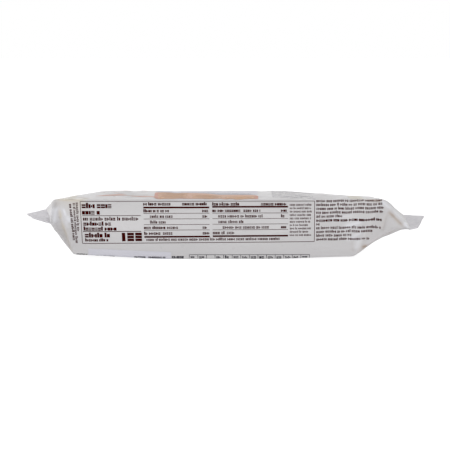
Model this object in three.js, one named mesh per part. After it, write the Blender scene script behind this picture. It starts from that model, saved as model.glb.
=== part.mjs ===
// A sealed flow-wrap pack of biscuits, lying on its flat underside, in millimetres with +Z up.
// X runs along the pack and the printed long side faces -Y. A tube of film is drawn tight round the
// row of biscuits, closed along the underside by a lap seam, and flattened at each end into a crimped
// fin. The fin is as wide as half the tube, so the long sides spread into an ear at each of its ends.
import * as THREE from 'three';

const point = (x, y, z) => new THREE.Vector3(x, y, z);

// The body between the two ends
const BODY_DEPTH = 84;
const EDGE_HEIGHT = 41.4;
const TOP_CROWN = 2.0;
const NEAR_BULGE = 3.6;
const FAR_BULGE = 3.0;
const FOOT_BOW = 2.6;
const BULGE_AT_ENDS = 0.35;

// The lap seam, pressed flat in the shallow hollow of the underside
const SEAM_WIDTH = 13;
const SEAM_STEP = 0.6;
const SEAM_EDGE = 0.5;
const HOLLOW_WIDTH = 40;

// The fins
const FIN_THICKNESS = 0.8;
const FIN_WIDTH = 124;

// Each end: where the long edges of the body stop, how far its underside is lifted and its far top
// edge dropped there and over what length, how far the end face puffs out above the fin and below
// it, how far the upper and the lower fold of each ear bow up from a straight line, and the corners
// of the fin, whose cut edge is askew
const LEFT_END = {
  side: -1,
  topNearX: -119.4,
  topFarX: -110,
  bottomNearX: -104.5,
  bottomFarX: -103,
  lift: 2.4,
  liftLength: 70,
  farDrop: 4.0,
  farDropLength: 34,
  puffAbove: 4.2,
  puffBelow: 0.8,
  upperFoldBow: 3.0,
  lowerFoldBow: -2.2,
  rootNear: point(-121.5, -FIN_WIDTH / 2, 25.9),
  rootFar: point(-132.0, FIN_WIDTH / 2, 26.9),
  tipNear: point(-132.3, -FIN_WIDTH / 2, 29.6),
  tipFar: point(-147.2, FIN_WIDTH / 2, 23.2),
};
const RIGHT_END = {
  side: 1,
  topNearX: 109.6,
  topFarX: 106,
  bottomNearX: 89.5,
  bottomFarX: 91,
  lift: 2.0,
  liftLength: 60,
  farDrop: 3.8,
  farDropLength: 80,
  puffAbove: 2.6,
  puffBelow: -1.8,
  upperFoldBow: 1.0,
  lowerFoldBow: 4.8,
  rootNear: point(126.3, -FIN_WIDTH / 2, 22.4),
  rootFar: point(131.6, FIN_WIDTH / 2, 22.7),
  tipNear: point(133.2, -FIN_WIDTH / 2, 23.4),
  tipFar: point(147.2, FIN_WIDTH / 2, 21.6),
};

// The label stuck low on the near side, its top edge askew to the pack
const LABEL_LEFT_X = -96;
const LABEL_RIGHT_X = -38;
const LABEL_TOP_LEFT = 7.6;
const LABEL_TOP_RIGHT = 5.0;
const LABEL_BOTTOM = 1.2;
const LABEL_GAP = 0.3;
const LABEL_THICKNESS = 0.3;

// The net of the film: steps along half a long side, which are also the rows of an end, so that the
// fold of an ear runs from corner to corner of its squares, then across the top and along the body
const HALF_SIDE_STEPS = 9;
const TOP_STEPS = 14;
const BOTTOM_STEPS_BESIDE_SEAM = 5;
const BODY_ROWS = 34;
const FIN_ROWS = 4;
const SOFTENING_PASSES = 2;
const LABEL_ROWS = 14;
const LABEL_STEPS = 4;

const mix = THREE.MathUtils.lerp;
const mixPoints = (a, b, t) => a.clone().lerp(b, t);
const arch = (t) => 4 * t * (1 - t);

/** How far x has come from the body's middle towards an end's stop: 0 to 1 over the given length. */
function nearness(x, end, stopX, length) {
  return THREE.MathUtils.smoothstep(end.side * x, end.side * stopX - length, end.side * stopX);
}

/** The sum over both ends of a size that grows from nothing towards each of them. */
function towardsEnds(x, stop, size, length) {
  const grown = (end) => end[size] * nearness(x, end, end[stop], end[length]);
  return grown(LEFT_END) + grown(RIGHT_END);
}

const underside = (x) => towardsEnds(x, 'bottomNearX', 'lift', 'liftLength');
const farTopEdge = (x) => EDGE_HEIGHT - towardsEnds(x, 'topNearX', 'farDrop', 'farDropLength');

/** 1 along the middle of the body, falling to 0 at both ends. */
function fullness(x) {
  const left = nearness(x, LEFT_END, LEFT_END.topNearX, LEFT_END.farDropLength);
  const right = nearness(x, RIGHT_END, RIGHT_END.topNearX, RIGHT_END.farDropLength);
  return 1 - left - right;
}

/** Height of the underside's film over its flat: the hollow, less the lap seam along its middle. */
function undersideRelief(t) {
  const offMiddle = Math.abs(t - 0.5) * BODY_DEPTH;
  const hollow = 1 - THREE.MathUtils.smoothstep(offMiddle, SEAM_WIDTH / 2, HOLLOW_WIDTH / 2);
  return offMiddle < (SEAM_WIDTH + SEAM_EDGE) / 2 ? 0 : SEAM_STEP * hollow;
}

/**
 * The tube's film, unrolled: one column for each line of film that runs from fin to fin. `t` is a
 * column's place across the top or the underside, from the near edge to the far one, and `half` its
 * place on half a long side, from 0 at the ear's tip to 1 at the long edge. `layer` is 1 above the
 * fin, -1 below it and 0 at its two ends.
 */
function filmColumns() {
  const halfSide = Array.from({ length: HALF_SIDE_STEPS }, (_, k) =>
    Math.sin((Math.PI / 2) * (k / HALF_SIDE_STEPS)));
  const across = Array.from({ length: TOP_STEPS + 1 }, (_, k) =>
    (1 - Math.cos((Math.PI * k) / TOP_STEPS)) / 2);
  const seamHalf = SEAM_WIDTH / 2 / BODY_DEPTH;
  const seamFoot = (SEAM_WIDTH / 2 + SEAM_EDGE) / BODY_DEPTH;
  const beside = Array.from({ length: BOTTOM_STEPS_BESIDE_SEAM + 1 }, (_, k) =>
    mix(0, 0.5 - seamFoot, Math.sin((Math.PI / 2) * (k / BOTTOM_STEPS_BESIDE_SEAM))));
  const halfUnder = [...beside, 0.5 - seamHalf, 0.5];
  const under = [...halfUnder, ...halfUnder.slice(0, -1).reverse().map((t) => 1 - t)];
  const back = [...halfSide].reverse();
  return [
    ...halfSide.map((half) => ({ panel: 'near', layer: 1, half })),
    ...across.map((t) => ({ panel: 'top', layer: 1, t })),
    ...back.map((half) => ({ panel: 'far', layer: 1, half })),
    ...halfSide.slice(1).map((half) => ({ panel: 'far', layer: -1, half })),
    ...under.map((t) => ({ panel: 'bottom', layer: -1, t: 1 - t })),
    ...back.slice(0, -1).map((half) => ({ panel: 'near', layer: -1, half })),
  ].map((column) => (column.half === 0 ? { ...column, layer: 0 } : column));
}

/** How far a long side stands off the pack's middle plane, `climb` from 0 at its foot to 1 at its top. */
function sideReach(x, climb, bulge) {
  const full = fullness(x);
  const bow = FOOT_BOW * full * (1 - climb);
  return BODY_DEPTH / 2 + bow + bulge * mix(BULGE_AT_ENDS, 1, full) * arch(climb);
}

/** A point of the body's film, where one column crosses the section at x. */
function bodyPoint(column, x) {
  const low = underside(x);
  const full = fullness(x);
  if (column.panel === 'top') {
    const y = mix(-BODY_DEPTH / 2, BODY_DEPTH / 2, column.t);
    const edge = mix(EDGE_HEIGHT, farTopEdge(x), column.t);
    return point(x, y, edge + TOP_CROWN * full * arch(column.t));
  }
  if (column.panel === 'bottom') {
    const half = BODY_DEPTH / 2 + FOOT_BOW * full;
    return point(x, mix(-half, half, column.t), low + undersideRelief(column.t));
  }
  const climb = (1 + column.layer * column.half) / 2;
  const isNear = column.panel === 'near';
  const y = isNear ? -sideReach(x, climb, NEAR_BULGE) : sideReach(x, climb, FAR_BULGE);
  return point(x, y, mix(low, isNear ? EDGE_HEIGHT : farTopEdge(x), climb));
}

/** The x at which a column leaves the body for one end. */
function columnStop(column, end) {
  if (column.panel === 'top') return mix(end.topNearX, end.topFarX, column.t);
  if (column.panel === 'bottom') return mix(end.bottomNearX, end.bottomFarX, column.t);
  const isNear = column.panel === 'near';
  const climb = (1 + column.layer * column.half) / 2;
  const low = isNear ? end.bottomNearX : end.bottomFarX;
  return mix(low, isNear ? end.topNearX : end.topFarX, climb);
}

/** A column's place across the fin, from 0 at the near ear's tip to 1 at the far one's. */
function finShare(column) {
  const earShare = (1 - BODY_DEPTH / FIN_WIDTH) / 2;
  if (column.panel === 'near') return earShare * column.half;
  if (column.panel === 'far') return 1 - earShare * column.half;
  return mix(earShare, 1 - earShare, column.t);
}

/** A point of the fin, `out` from 0 at its root to 1 at its cut edge. */
function finPoint(column, end, out) {
  const share = finShare(column);
  const root = mixPoints(end.rootNear, end.rootFar, share);
  const tip = mixPoints(end.tipNear, end.tipFar, share);
  return mixPoints(root, tip, out).add(point(0, 0, (column.layer * FIN_THICKNESS) / 2));
}

/**
 * A point of an end, `out` from 0 at the body to 1 at the fin's root. On a long side the film first
 * runs on as part of the ear's flat triangle, then turns over the fold that joins the body's corner
 * to the ear's tip, and lies along the top or bottom of the end.
 */
function endPoint(column, end, out) {
  const start = bodyPoint(column, columnStop(column, end));
  const root = finPoint(column, end, 0);
  const puff = (column.layer > 0 ? end.puffAbove : end.puffBelow) * arch(out) * Math.SQRT1_2;
  const puffed = point(end.side * puff, 0, column.layer * puff);
  if (column.half === undefined) return mixPoints(start, root, out).add(puffed);
  const corner = { ...column, half: 1, layer: column.layer || 1 };
  const foldFrom = bodyPoint(corner, columnStop(corner, end));
  const foldTo = column.panel === 'near' ? end.rootNear : end.rootFar;
  const fold = mixPoints(foldTo, foldFrom, column.half);
  fold.z += (column.layer < 0 ? end.lowerFoldBow : end.upperFoldBow) * arch(column.half);
  const foldAt = 1 - column.half;
  if (out <= foldAt) return mixPoints(start, fold, foldAt ? out / foldAt : 0);
  return mixPoints(fold, root, (out - foldAt) / column.half).add(puffed.multiplyScalar(column.half));
}

/** The rows of the net, each a function from a column to its point, from cut edge to cut edge. */
function filmRows() {
  const fin = (end) => Array.from({ length: FIN_ROWS }, (_, k) =>
    (column) => finPoint(column, end, 1 - k / FIN_ROWS));
  const face = (end) => Array.from({ length: HALF_SIDE_STEPS }, (_, k) =>
    (column) => endPoint(column, end, 1 - Math.sin((Math.PI / 2) * (k / HALF_SIDE_STEPS))));
  const body = Array.from({ length: BODY_ROWS + 1 }, (_, k) => (column) => {
    const from = columnStop(column, LEFT_END);
    return bodyPoint(column, mix(from, columnStop(column, RIGHT_END), k / BODY_ROWS));
  });
  const right = [...fin(RIGHT_END), ...face(RIGHT_END)].reverse();
  return [...fin(LEFT_END), ...face(LEFT_END), ...body, ...right];
}

/** Rounds the folds of a net by drawing each point towards its neighbours; fins and underside stay. */
function soften(net, columns) {
  const last = net.length - 1 - FIN_ROWS;
  const isFixed = (i, j) => i <= FIN_ROWS || i >= last || columns[j].panel === 'bottom';
  return net.map((row, i) => row.map((here, j) => {
    if (isFixed(i, j)) return here;
    const around = [net[i - 1][j], net[i + 1][j], row.at(j - 1), row[(j + 1) % row.length]];
    const mean = around.reduce((sum, p) => sum.add(p), point(0, 0, 0)).multiplyScalar(1 / 4);
    return mixPoints(here, mean, 1 / 2);
  }));
}

/** Adds the two triangles of a square to the index, or the one that is left where corners meet. */
function addSquare(index, a, b, c, d) {
  for (const corners of [[a, b, c], [a, c, d]]) {
    if (new Set(corners).size === 3) index.push(...corners);
  }
}

/**
 * A closed geometry from a net whose rows are rings. Each end is shut between the two halves of its
 * ring, which share their first and last points or, on a `blunt` ring, have ends of their own.
 */
function closedNet(net, blunt = false) {
  const width = net[0].length;
  const index = [];
  for (let i = 0; i + 1 < net.length; i += 1) {
    for (let j = 0; j < width; j += 1) {
      const k = (j + 1) % width;
      const [a, b, c, d] = [i * width + j, (i + 1) * width + j, (i + 1) * width + k, i * width + k];
      const [from, ...others] = [net[i][j], net[i + 1][j], net[i + 1][k], net[i][k]];
      const [toB, toC, toD] = others.map((p) => p.clone().sub(from));
      if (toB.cross(toC).dot(toD) <= 0) addSquare(index, a, b, c, d);
      else addSquare(index, b, c, d, a);
    }
  }
  const opposite = (j) => (width - (blunt ? 1 : 0) - j) % width;
  const lastRow = (net.length - 1) * width;
  for (let j = 0; j + (blunt ? 1 : 0) < width / 2; j += 1) {
    const corners = [j, j + 1, opposite(j + 1), opposite(j)];
    addSquare(index, ...corners);
    addSquare(index, ...corners.map((corner) => lastRow + corner).reverse());
  }
  const geometry = new THREE.BufferGeometry();
  const numbers = net.flat().flatMap((p) => p.toArray());
  geometry.setAttribute('position', new THREE.Float32BufferAttribute(numbers, 3));
  geometry.setIndex(index);
  geometry.computeVertexNormals();
  return geometry;
}

/** The pack as one solid: body, ends, fins and lap seam. */
function filmGeometry() {
  const columns = filmColumns();
  let net = filmRows().map((row) => columns.map(row));
  for (let pass = 0; pass < SOFTENING_PASSES; pass += 1) net = soften(net, columns);
  return closedNet(net);
}

/** A point of the label's sheet: `along` and `up` run from 0 to 1, `off` is its distance off the film. */
function labelPoint(along, up, off) {
  const x = mix(LABEL_LEFT_X, LABEL_RIGHT_X, along);
  const low = underside(x);
  const z = mix(low + LABEL_BOTTOM, mix(LABEL_TOP_LEFT, LABEL_TOP_RIGHT, along), up);
  const climb = (z - low) / (EDGE_HEIGHT - low);
  return point(x, -sideReach(x, climb, NEAR_BULGE) - off, z);
}

/** The label as a thin solid that follows the near side. */
function labelGeometry() {
  const ring = Array.from({ length: LABEL_STEPS + 1 }, (_, k) => k / LABEL_STEPS);
  const section = [
    ...ring.map((up) => [up, LABEL_GAP + LABEL_THICKNESS]),
    ...ring.map((up) => [1 - up, LABEL_GAP]),
  ];
  const net = Array.from({ length: LABEL_ROWS + 1 }, (_, i) =>
    section.map(([up, out]) => labelPoint(i / LABEL_ROWS, up, out)));
  return closedNet(net, true);
}

function namedMesh(name, geometry, color, roughness) {
  const material = new THREE.MeshStandardMaterial({ color, roughness, metalness: 0 });
  const mesh = new THREE.Mesh(geometry, material);
  mesh.name = name;
  return mesh;
}

const pack = new THREE.Group();
pack.name = 'biscuit_pack';
pack.add(namedMesh('film_pack', filmGeometry(), '#d3d1d4', 0.35));
pack.add(namedMesh('stuck_label', labelGeometry(), '#dedce6', 0.5));

export default pack;
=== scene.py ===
"""A flow-wrap pack of biscuits lying on its underside, built for Blender in its solids' frame.

Sizes are in millimetres with +Z up, X along the pack and the printed long side facing -Y. Meshes
are turned to metres when they are made.
"""

import logging
import math
from dataclasses import dataclass, field
from enum import Enum

import bpy
import numpy as np
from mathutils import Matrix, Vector
from mathutils.bvhtree import BVHTree


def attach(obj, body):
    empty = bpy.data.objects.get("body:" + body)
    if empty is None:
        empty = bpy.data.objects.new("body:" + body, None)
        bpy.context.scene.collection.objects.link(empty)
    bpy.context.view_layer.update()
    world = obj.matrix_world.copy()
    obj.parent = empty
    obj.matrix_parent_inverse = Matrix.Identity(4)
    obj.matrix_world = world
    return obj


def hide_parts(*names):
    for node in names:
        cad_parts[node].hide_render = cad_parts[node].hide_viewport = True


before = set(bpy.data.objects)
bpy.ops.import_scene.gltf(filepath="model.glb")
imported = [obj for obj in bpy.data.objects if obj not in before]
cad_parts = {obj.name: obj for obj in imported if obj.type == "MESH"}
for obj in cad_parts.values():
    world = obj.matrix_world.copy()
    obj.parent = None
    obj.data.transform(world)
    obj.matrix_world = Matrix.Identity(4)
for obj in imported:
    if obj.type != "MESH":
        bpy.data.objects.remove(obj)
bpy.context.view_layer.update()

log = logging.getLogger("biscuit_pack")

MILLIMETRE = 0.001
TINY = 1e-9


def linear(hex_colour: str) -> tuple[float, float, float, float]:
    """Turns an sRGB hex colour into the linear colour that a shader takes.

    Args:
        hex_colour: Six hex digits after a hash sign.

    Returns:
        Red, green, blue and an alpha of one.
    """
    channels = [int(hex_colour[i : i + 2], 16) / 255 for i in (1, 3, 5)]
    curved = [c / 12.92 if c <= 0.04045 else ((c + 0.055) / 1.055) ** 2.4 for c in channels]
    return (*curved, 1.0)


def per_metre(size_mm: float) -> float:
    """Gives the texture scale whose pattern repeats about every so many millimetres."""
    return 1000.0 / size_mm


def add_node(
    tree: bpy.types.NodeTree, kind: str, settings: dict | None = None, links: dict | None = None
) -> bpy.types.Node:
    """Adds one node to a tree.

    Args:
        tree: The node tree.
        kind: Blender's name for the node's type.
        settings: Values for the node's own settings, or for sockets by name or number.
        links: The output socket that feeds each input socket, by name or number.

    Returns:
        The new node.
    """
    node = tree.nodes.new(kind)
    for key, value in (settings or {}).items():
        if isinstance(key, str) and hasattr(node, key):
            setattr(node, key, value)
        else:
            node.inputs[key].default_value = value
    for key, source in (links or {}).items():
        tree.links.new(source, node.inputs[key])
    return node


def new_material(name: str) -> tuple[bpy.types.Material, bpy.types.NodeTree, bpy.types.NodeSocket]:
    """Makes an empty material.

    Args:
        name: The material's name.

    Returns:
        The material, its node tree and the surface socket of its output.
    """
    material = bpy.data.materials.new(name)
    material.use_nodes = True
    material.node_tree.nodes.clear()
    output = material.node_tree.nodes.new("ShaderNodeOutputMaterial")
    return material, material.node_tree, output.inputs["Surface"]


def smoothstep(value: np.ndarray, low: float, high: float) -> np.ndarray:
    """Eases from 0 at low to 1 at high."""
    share = np.clip((value - low) / (high - low), 0.0, 1.0)
    return share * share * (3.0 - 2.0 * share)


def mix(a: np.ndarray, b: np.ndarray, share: np.ndarray) -> np.ndarray:
    """Goes from a to b as the share goes from 0 to 1."""
    return a + (b - a) * share


def arch(share: np.ndarray) -> np.ndarray:
    """A parabola that is 0 at both ends and 1 halfway."""
    return 4.0 * share * (1.0 - share)


def stroke(off: np.ndarray, rounding: float) -> np.ndarray:
    """Falls from 1 on a line to 0 far off it, with a rounder top the more rounding it has."""
    return np.exp(rounding - np.hypot(off, rounding))


def unit(vectors: np.ndarray) -> np.ndarray:
    """Scales the vectors along the last axis to a length of one."""
    return vectors / np.maximum(np.linalg.norm(vectors, axis=-1, keepdims=True), TINY)


def line_length(line: np.ndarray) -> np.ndarray:
    """Measures how far along a line of points each of them lies."""
    return np.concatenate([[0.0], np.cumsum(np.linalg.norm(np.diff(line, axis=0), axis=1))])


def sample(line: np.ndarray, at: np.ndarray, places: np.ndarray) -> np.ndarray:
    """Finds points along a line.

    Args:
        line: Its known points, one a row.
        at: The place of each known point, in rising order.
        places: The places to find.

    Returns:
        One point a place.
    """
    return np.stack([np.interp(places, at, line[:, axis]) for axis in range(3)], 1)


def lattice_noise(points: np.ndarray, pitch: tuple[float, float, float], seed: int) -> np.ndarray:
    """Smooth seeded noise from -1 to 1.

    Args:
        points: Points in millimetres, one a row.
        pitch: The noise's wavelength along each axis, in millimetres.
        seed: Picks the pattern.

    Returns:
        One value a point.
    """
    size = 32
    table = np.random.default_rng(seed).uniform(-1.0, 1.0, (size, size, size))
    place = points / np.array(pitch) + 500.0
    cell = np.floor(place).astype(int)
    ease = place - cell
    ease = ease * ease * (3.0 - 2.0 * ease)
    total = np.zeros(len(points))
    for corner in np.ndindex(2, 2, 2):
        weight = np.prod(np.where(np.array(corner) == 1, ease, 1.0 - ease), axis=1)
        index = (cell + np.array(corner)) % size
        total += weight * table[index[:, 0], index[:, 1], index[:, 2]]
    return total


def make_piece(
    name: str, points: np.ndarray, faces: list, material: bpy.types.Material
) -> bpy.types.Object:
    """Makes a smooth-shaded mesh object that rides with the pack.

    Args:
        name: The piece's name.
        points: Its vertices in millimetres.
        faces: Its faces as tuples of vertex numbers.
        material: Its finish.

    Returns:
        The object.
    """
    mesh = bpy.data.meshes.new(name)
    mesh.from_pydata((points * MILLIMETRE).tolist(), [], faces)
    mesh.materials.append(material)
    mesh.polygons.foreach_set("use_smooth", [True] * len(mesh.polygons))
    piece = bpy.data.objects.new(name, mesh)
    bpy.context.scene.collection.objects.link(piece)
    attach(piece, "root")
    return piece


def grid_faces(rows: int, columns: int, wraps: bool = False) -> list[tuple[int, int, int, int]]:
    """Lists the squares of a grid of vertices that is numbered row by row.

    Args:
        rows: How many rows of vertices there are.
        columns: How many vertices a row has.
        wraps: Whether each row closes into a ring.

    Returns:
        The squares, which face up where rows run along X and columns along Y.
    """
    faces = []
    for row in range(rows - 1):
        here, above = row * columns, (row + 1) * columns
        for column in range(columns if wraps else columns - 1):
            beside = (column + 1) % columns
            faces.append((here + column, above + column, above + beside, here + beside))
    return faces


def closed_sheet(first: np.ndarray, second: np.ndarray, turned: bool) -> tuple[np.ndarray, list]:
    """Closes two layers of points, each by row and column, into one thin sheet.

    Args:
        first: One layer, which faces outward as grid_faces lays it.
        second: The layer behind it.
        turned: Whether all faces are turned over.

    Returns:
        The points and the faces.
    """
    rows, columns = first.shape[:2]
    count = rows * columns
    faces = grid_faces(rows, columns)
    faces += [tuple(v + count for v in reversed(face)) for face in faces]
    ring = (
        list(range(columns))
        + [i * columns + columns - 1 for i in range(1, rows)]
        + [(rows - 1) * columns + j for j in range(columns - 2, -1, -1)]
        + [i * columns for i in range(rows - 2, 0, -1)]
    )
    faces += [(a, b, b + count, a + count) for a, b in zip(ring, ring[1:] + ring[:1])]
    if turned:
        faces = [tuple(reversed(face)) for face in faces]
    return np.concatenate([first.reshape(-1, 3), second.reshape(-1, 3)]), faces


# ---------------------------------------------------------------------------------------------
# Finishes
# ---------------------------------------------------------------------------------------------


@dataclass(frozen=True)
class WhiteFilm:
    """White cavitated polypropylene film, cast and drawn, printed and lacquered.

    To the eye it is a cool, faintly lavender white with a satin sheen that breaks up over shallow
    wrinkles. It warms to cream where it folds over the biscuits. Along its creases a tan tint is
    painted shade, and a brighter, cooler white is painted highlight, laid together with the
    frosting that drawn film gets where it opens up. Each relief is a bump's strength and its height
    in metres.
    """

    name: str = "white_polypropylene_film_lacquered"
    base: str = "#d6d4d5"
    shade: str = "#cdcbcc"
    cream: str = "#d6cab4"
    # The tan tint is painted shade for the creases
    tan: str = "#ac998a"
    # The frost white is painted highlight on the creases, laid together with the whitening of drawn
    # film
    frost: str = "#f0f1f7"
    stretch: tuple[float, float, float] = (0.55, 1.0, 1.0)
    cloud_mm: float = 26.0
    wrinkle_mm: float = 5.5
    wrinkle_relief: tuple[float, float] = (0.6, 0.00034)
    peel_mm: float = 1.8
    peel_relief: tuple[float, float] = (0.12, 0.00003)
    roughness: tuple[float, float] = (0.26, 0.39)
    specular: float = 0.42
    lacquer: float = 0.12
    lacquer_roughness: float = 0.16

    def material(self) -> bpy.types.Material:
        """Builds the finish and returns it."""
        material, tree, surface = new_material(self.name)
        place = add_node(tree, "ShaderNodeTexCoord").outputs["Object"]
        stretched = add_node(
            tree, "ShaderNodeMapping", {"Scale": self.stretch}, {"Vector": place}
        ).outputs["Vector"]
        # Cloudy ink density over centimetres, which keeps the white from looking like one flat tone
        cloud = add_node(
            tree,
            "ShaderNodeTexNoise",
            {"Scale": per_metre(self.cloud_mm), "Detail": 3.0, "Roughness": 0.55},
            {"Vector": stretched},
        ).outputs["Fac"]
        colour = add_node(
            tree,
            "ShaderNodeMix",
            {"data_type": "RGBA", 6: linear(self.shade), 7: linear(self.base)},
            {0: cloud},
        ).outputs[2]
        # What the creases do to the white is kept with the mesh, point by point: cream, tan that is
        # painted shade, and white that is painted highlight along with the film's frosting
        for layer, tint in (("warmth", self.cream), ("blush", self.tan), ("frost", self.frost)):
            share = add_node(tree, "ShaderNodeAttribute", {"attribute_name": layer}).outputs["Fac"]
            colour = add_node(
                tree, "ShaderNodeMix", {"data_type": "RGBA", 7: linear(tint)}, {0: share, 6: colour}
            ).outputs[2]
        # Soft handling wrinkles a few millimetres wide, then the fine peel of the lacquer
        wrinkle = add_node(
            tree,
            "ShaderNodeTexNoise",
            {
                "Scale": per_metre(self.wrinkle_mm),
                "Detail": 4.0,
                "Roughness": 0.5,
                "Distortion": 0.6,
            },
            {"Vector": stretched},
        ).outputs["Fac"]
        peel = add_node(
            tree,
            "ShaderNodeTexNoise",
            {"Scale": per_metre(self.peel_mm), "Detail": 2.0},
            {"Vector": place},
        ).outputs["Fac"]
        smooth, rubbed = self.roughness
        sheen = add_node(
            tree,
            "ShaderNodeMapRange",
            {"From Min": 0.3, "From Max": 0.7, "To Min": smooth, "To Max": rubbed},
            {"Value": wrinkle},
        ).outputs["Result"]
        normal = None
        for height, relief in ((wrinkle, self.wrinkle_relief), (peel, self.peel_relief)):
            strength, distance = relief
            links = {"Height": height} if normal is None else {"Height": height, "Normal": normal}
            normal = add_node(
                tree, "ShaderNodeBump", {"Strength": strength, "Distance": distance}, links
            ).outputs["Normal"]
        shader = add_node(
            tree,
            "ShaderNodeBsdfPrincipled",
            {
                "IOR": 1.49,
                "Specular IOR Level": self.specular,
                "Coat Weight": self.lacquer,
                "Coat Roughness": self.lacquer_roughness,
            },
            {"Base Color": colour, "Roughness": sheen, "Normal": normal},
        )
        tree.links.new(shader.outputs["BSDF"], surface)
        return material


@dataclass(frozen=True)
class TwoTone:
    """What the plainer finishes share: a noise that mixes two close tones over a trace of relief.

    `low` and `high` are the tones at the noise's two ends, which `spread` draws together, and
    `pitch_mm` is its size. `roughness` is one value, or two that follow the noise. `relief` is the
    strength of the bump and its height in metres.
    """

    name: str = ""
    low: str = "#ffffff"
    high: str = "#ffffff"
    pitch_mm: float = 1.6
    detail: float = 3.0
    grit: float = 0.5
    spread: tuple[float, float] | None = None
    relief: tuple[float, float] | None = (0.15, 0.00003)
    roughness: float | tuple[float, float] = 0.42
    ior: float = 1.49
    specular: float = 0.35
    glow: float = 0.0

    def material(self) -> bpy.types.Material:
        """Builds the finish and returns it."""
        material, tree, surface = new_material(self.name)
        place = add_node(tree, "ShaderNodeTexCoord").outputs["Object"]
        noise = add_node(
            tree,
            "ShaderNodeTexNoise",
            {"Scale": per_metre(self.pitch_mm), "Detail": self.detail, "Roughness": self.grit},
            {"Vector": place},
        ).outputs["Fac"]
        share = noise
        if self.spread:
            low, high = self.spread
            share = add_node(
                tree, "ShaderNodeMapRange", {"From Min": low, "From Max": high}, {"Value": noise}
            ).outputs["Result"]
        tone = add_node(
            tree,
            "ShaderNodeMix",
            {"data_type": "RGBA", 6: linear(self.low), 7: linear(self.high)},
            {0: share},
        ).outputs[2]
        settings = {"IOR": self.ior, "Specular IOR Level": self.specular}
        links = {"Base Color": tone}
        if isinstance(self.roughness, tuple):
            low, high = self.roughness
            links["Roughness"] = add_node(
                tree, "ShaderNodeMapRange", {"To Min": low, "To Max": high}, {"Value": noise}
            ).outputs["Result"]
        else:
            settings["Roughness"] = self.roughness
        if self.relief:
            strength, distance = self.relief
            links["Normal"] = add_node(
                tree,
                "ShaderNodeBump",
                {"Strength": strength, "Distance": distance},
                {"Height": noise},
            ).outputs["Normal"]
        if self.glow:
            settings |= {"Emission Color": linear("#ffffff"), "Emission Strength": self.glow}
        shader = add_node(tree, "ShaderNodeBsdfPrincipled", settings, links)
        tree.links.new(shader.outputs["BSDF"], surface)
        return material


@dataclass(frozen=True)
class CrimpedFilm(TwoTone):
    """Two layers of the film heat-sealed between crimping jaws.

    To the eye it is a touch greyer than the pack, because the ridges shade one another, and it is
    mottled where the jaws left the weld thicker or thinner.
    """

    name: str = "polypropylene_film_heat_sealed"
    low: str = "#c6c4c8"
    high: str = "#e4e2e6"
    pitch_mm: float = 2.6
    detail: float = 4.0
    grit: float = 0.65
    spread: tuple[float, float] = (0.35, 0.65)
    relief: tuple[float, float] = (0.6, 0.00016)
    roughness: tuple[float, float] = (0.36, 0.52)
    specular: float = 0.4


@dataclass(frozen=True)
class PrintedInk(TwoTone):
    """Gravure ink under the film's lacquer.

    To the eye it shares the film's sheen, and its density wanders a little, as ink does over a cell
    pattern.
    """


@dataclass(frozen=True)
class LabelPaper(TwoTone):
    """Uncoated label paper, die-cut and pressed on by hand.

    To the eye it is matt and a shade more lavender than the film under it, with a trace of fibre.
    """

    name: str = "label_paper_uncoated"
    low: str = "#d3d2da"
    high: str = "#dbdae2"
    pitch_mm: float = 0.8
    detail: float = 5.0
    grit: float = 0.7
    relief: tuple[float, float] = (0.3, 0.00004)
    roughness: float = 0.62
    ior: float = 1.45
    specular: float = 0.3


@dataclass(frozen=True)
class PaperSweep(TwoTone):
    """A seamless roll of white background paper, matt, with a very faint tooth."""

    name: str = "background_paper_white"
    low: str = "#8c8c8d"
    high: str = "#909090"
    pitch_mm: float = 2.0
    relief: None = None
    roughness: float = 0.9
    ior: float = 1.5
    specular: float = 0.1
    glow: float = 0.9


# ---------------------------------------------------------------------------------------------
# The film
# ---------------------------------------------------------------------------------------------


class Panel(Enum):
    """The four faces of the tube of film."""

    NEAR = 0
    TOP = 1
    FAR = 2
    BOTTOM = 3


@dataclass(frozen=True)
class PackEnd:
    """One end of the pack, where the tube is flattened into a fin.

    `puff_near` and `puff_far` are how far the film puffs out above the fin, on the near and on the
    far side, and `puff_skew` is under 1 where it does so most near the body. `puff_below` is the
    same for the film below the fin.
    """

    side: int
    top_near_x: float
    top_far_x: float
    bottom_near_x: float
    bottom_far_x: float
    lift: float
    lift_length: float
    far_drop: float
    far_drop_length: float
    puff_near: float
    puff_far: float
    puff_skew: float
    puff_below: float
    upper_fold_bow: float
    lower_fold_bow: float
    root_near: tuple[float, float, float]
    root_far: tuple[float, float, float]
    tip_near: tuple[float, float, float]
    tip_far: tuple[float, float, float]


LEFT_END = PackEnd(
    side=-1,
    top_near_x=-119.4,
    top_far_x=-110.0,
    bottom_near_x=-106.2,
    bottom_far_x=-103.0,
    lift=2.8,
    lift_length=70.0,
    far_drop=4.0,
    far_drop_length=34.0,
    puff_near=2.4,
    puff_far=2.4,
    puff_skew=1.0,
    puff_below=0.1,
    upper_fold_bow=1.2,
    lower_fold_bow=0.3,
    root_near=(-121.5, -62.0, 26.5),
    root_far=(-132.0, 62.0, 26.9),
    tip_near=(-132.3, -62.0, 29.6),
    tip_far=(-147.2, 62.0, 23.2),
)
RIGHT_END = PackEnd(
    side=1,
    top_near_x=109.6,
    top_far_x=106.0,
    bottom_near_x=89.5,
    bottom_far_x=91.0,
    lift=1.4,
    lift_length=60.0,
    far_drop=3.8,
    far_drop_length=80.0,
    puff_near=2.3,
    puff_far=0.3,
    puff_skew=0.7,
    puff_below=-3.0,
    upper_fold_bow=1.0,
    lower_fold_bow=4.8,
    root_near=(127.8, -62.0, 22.2),
    root_far=(131.6, 62.0, 22.7),
    tip_near=(133.2, -62.0, 23.4),
    tip_far=(147.2, 62.0, 21.6),
)


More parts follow.
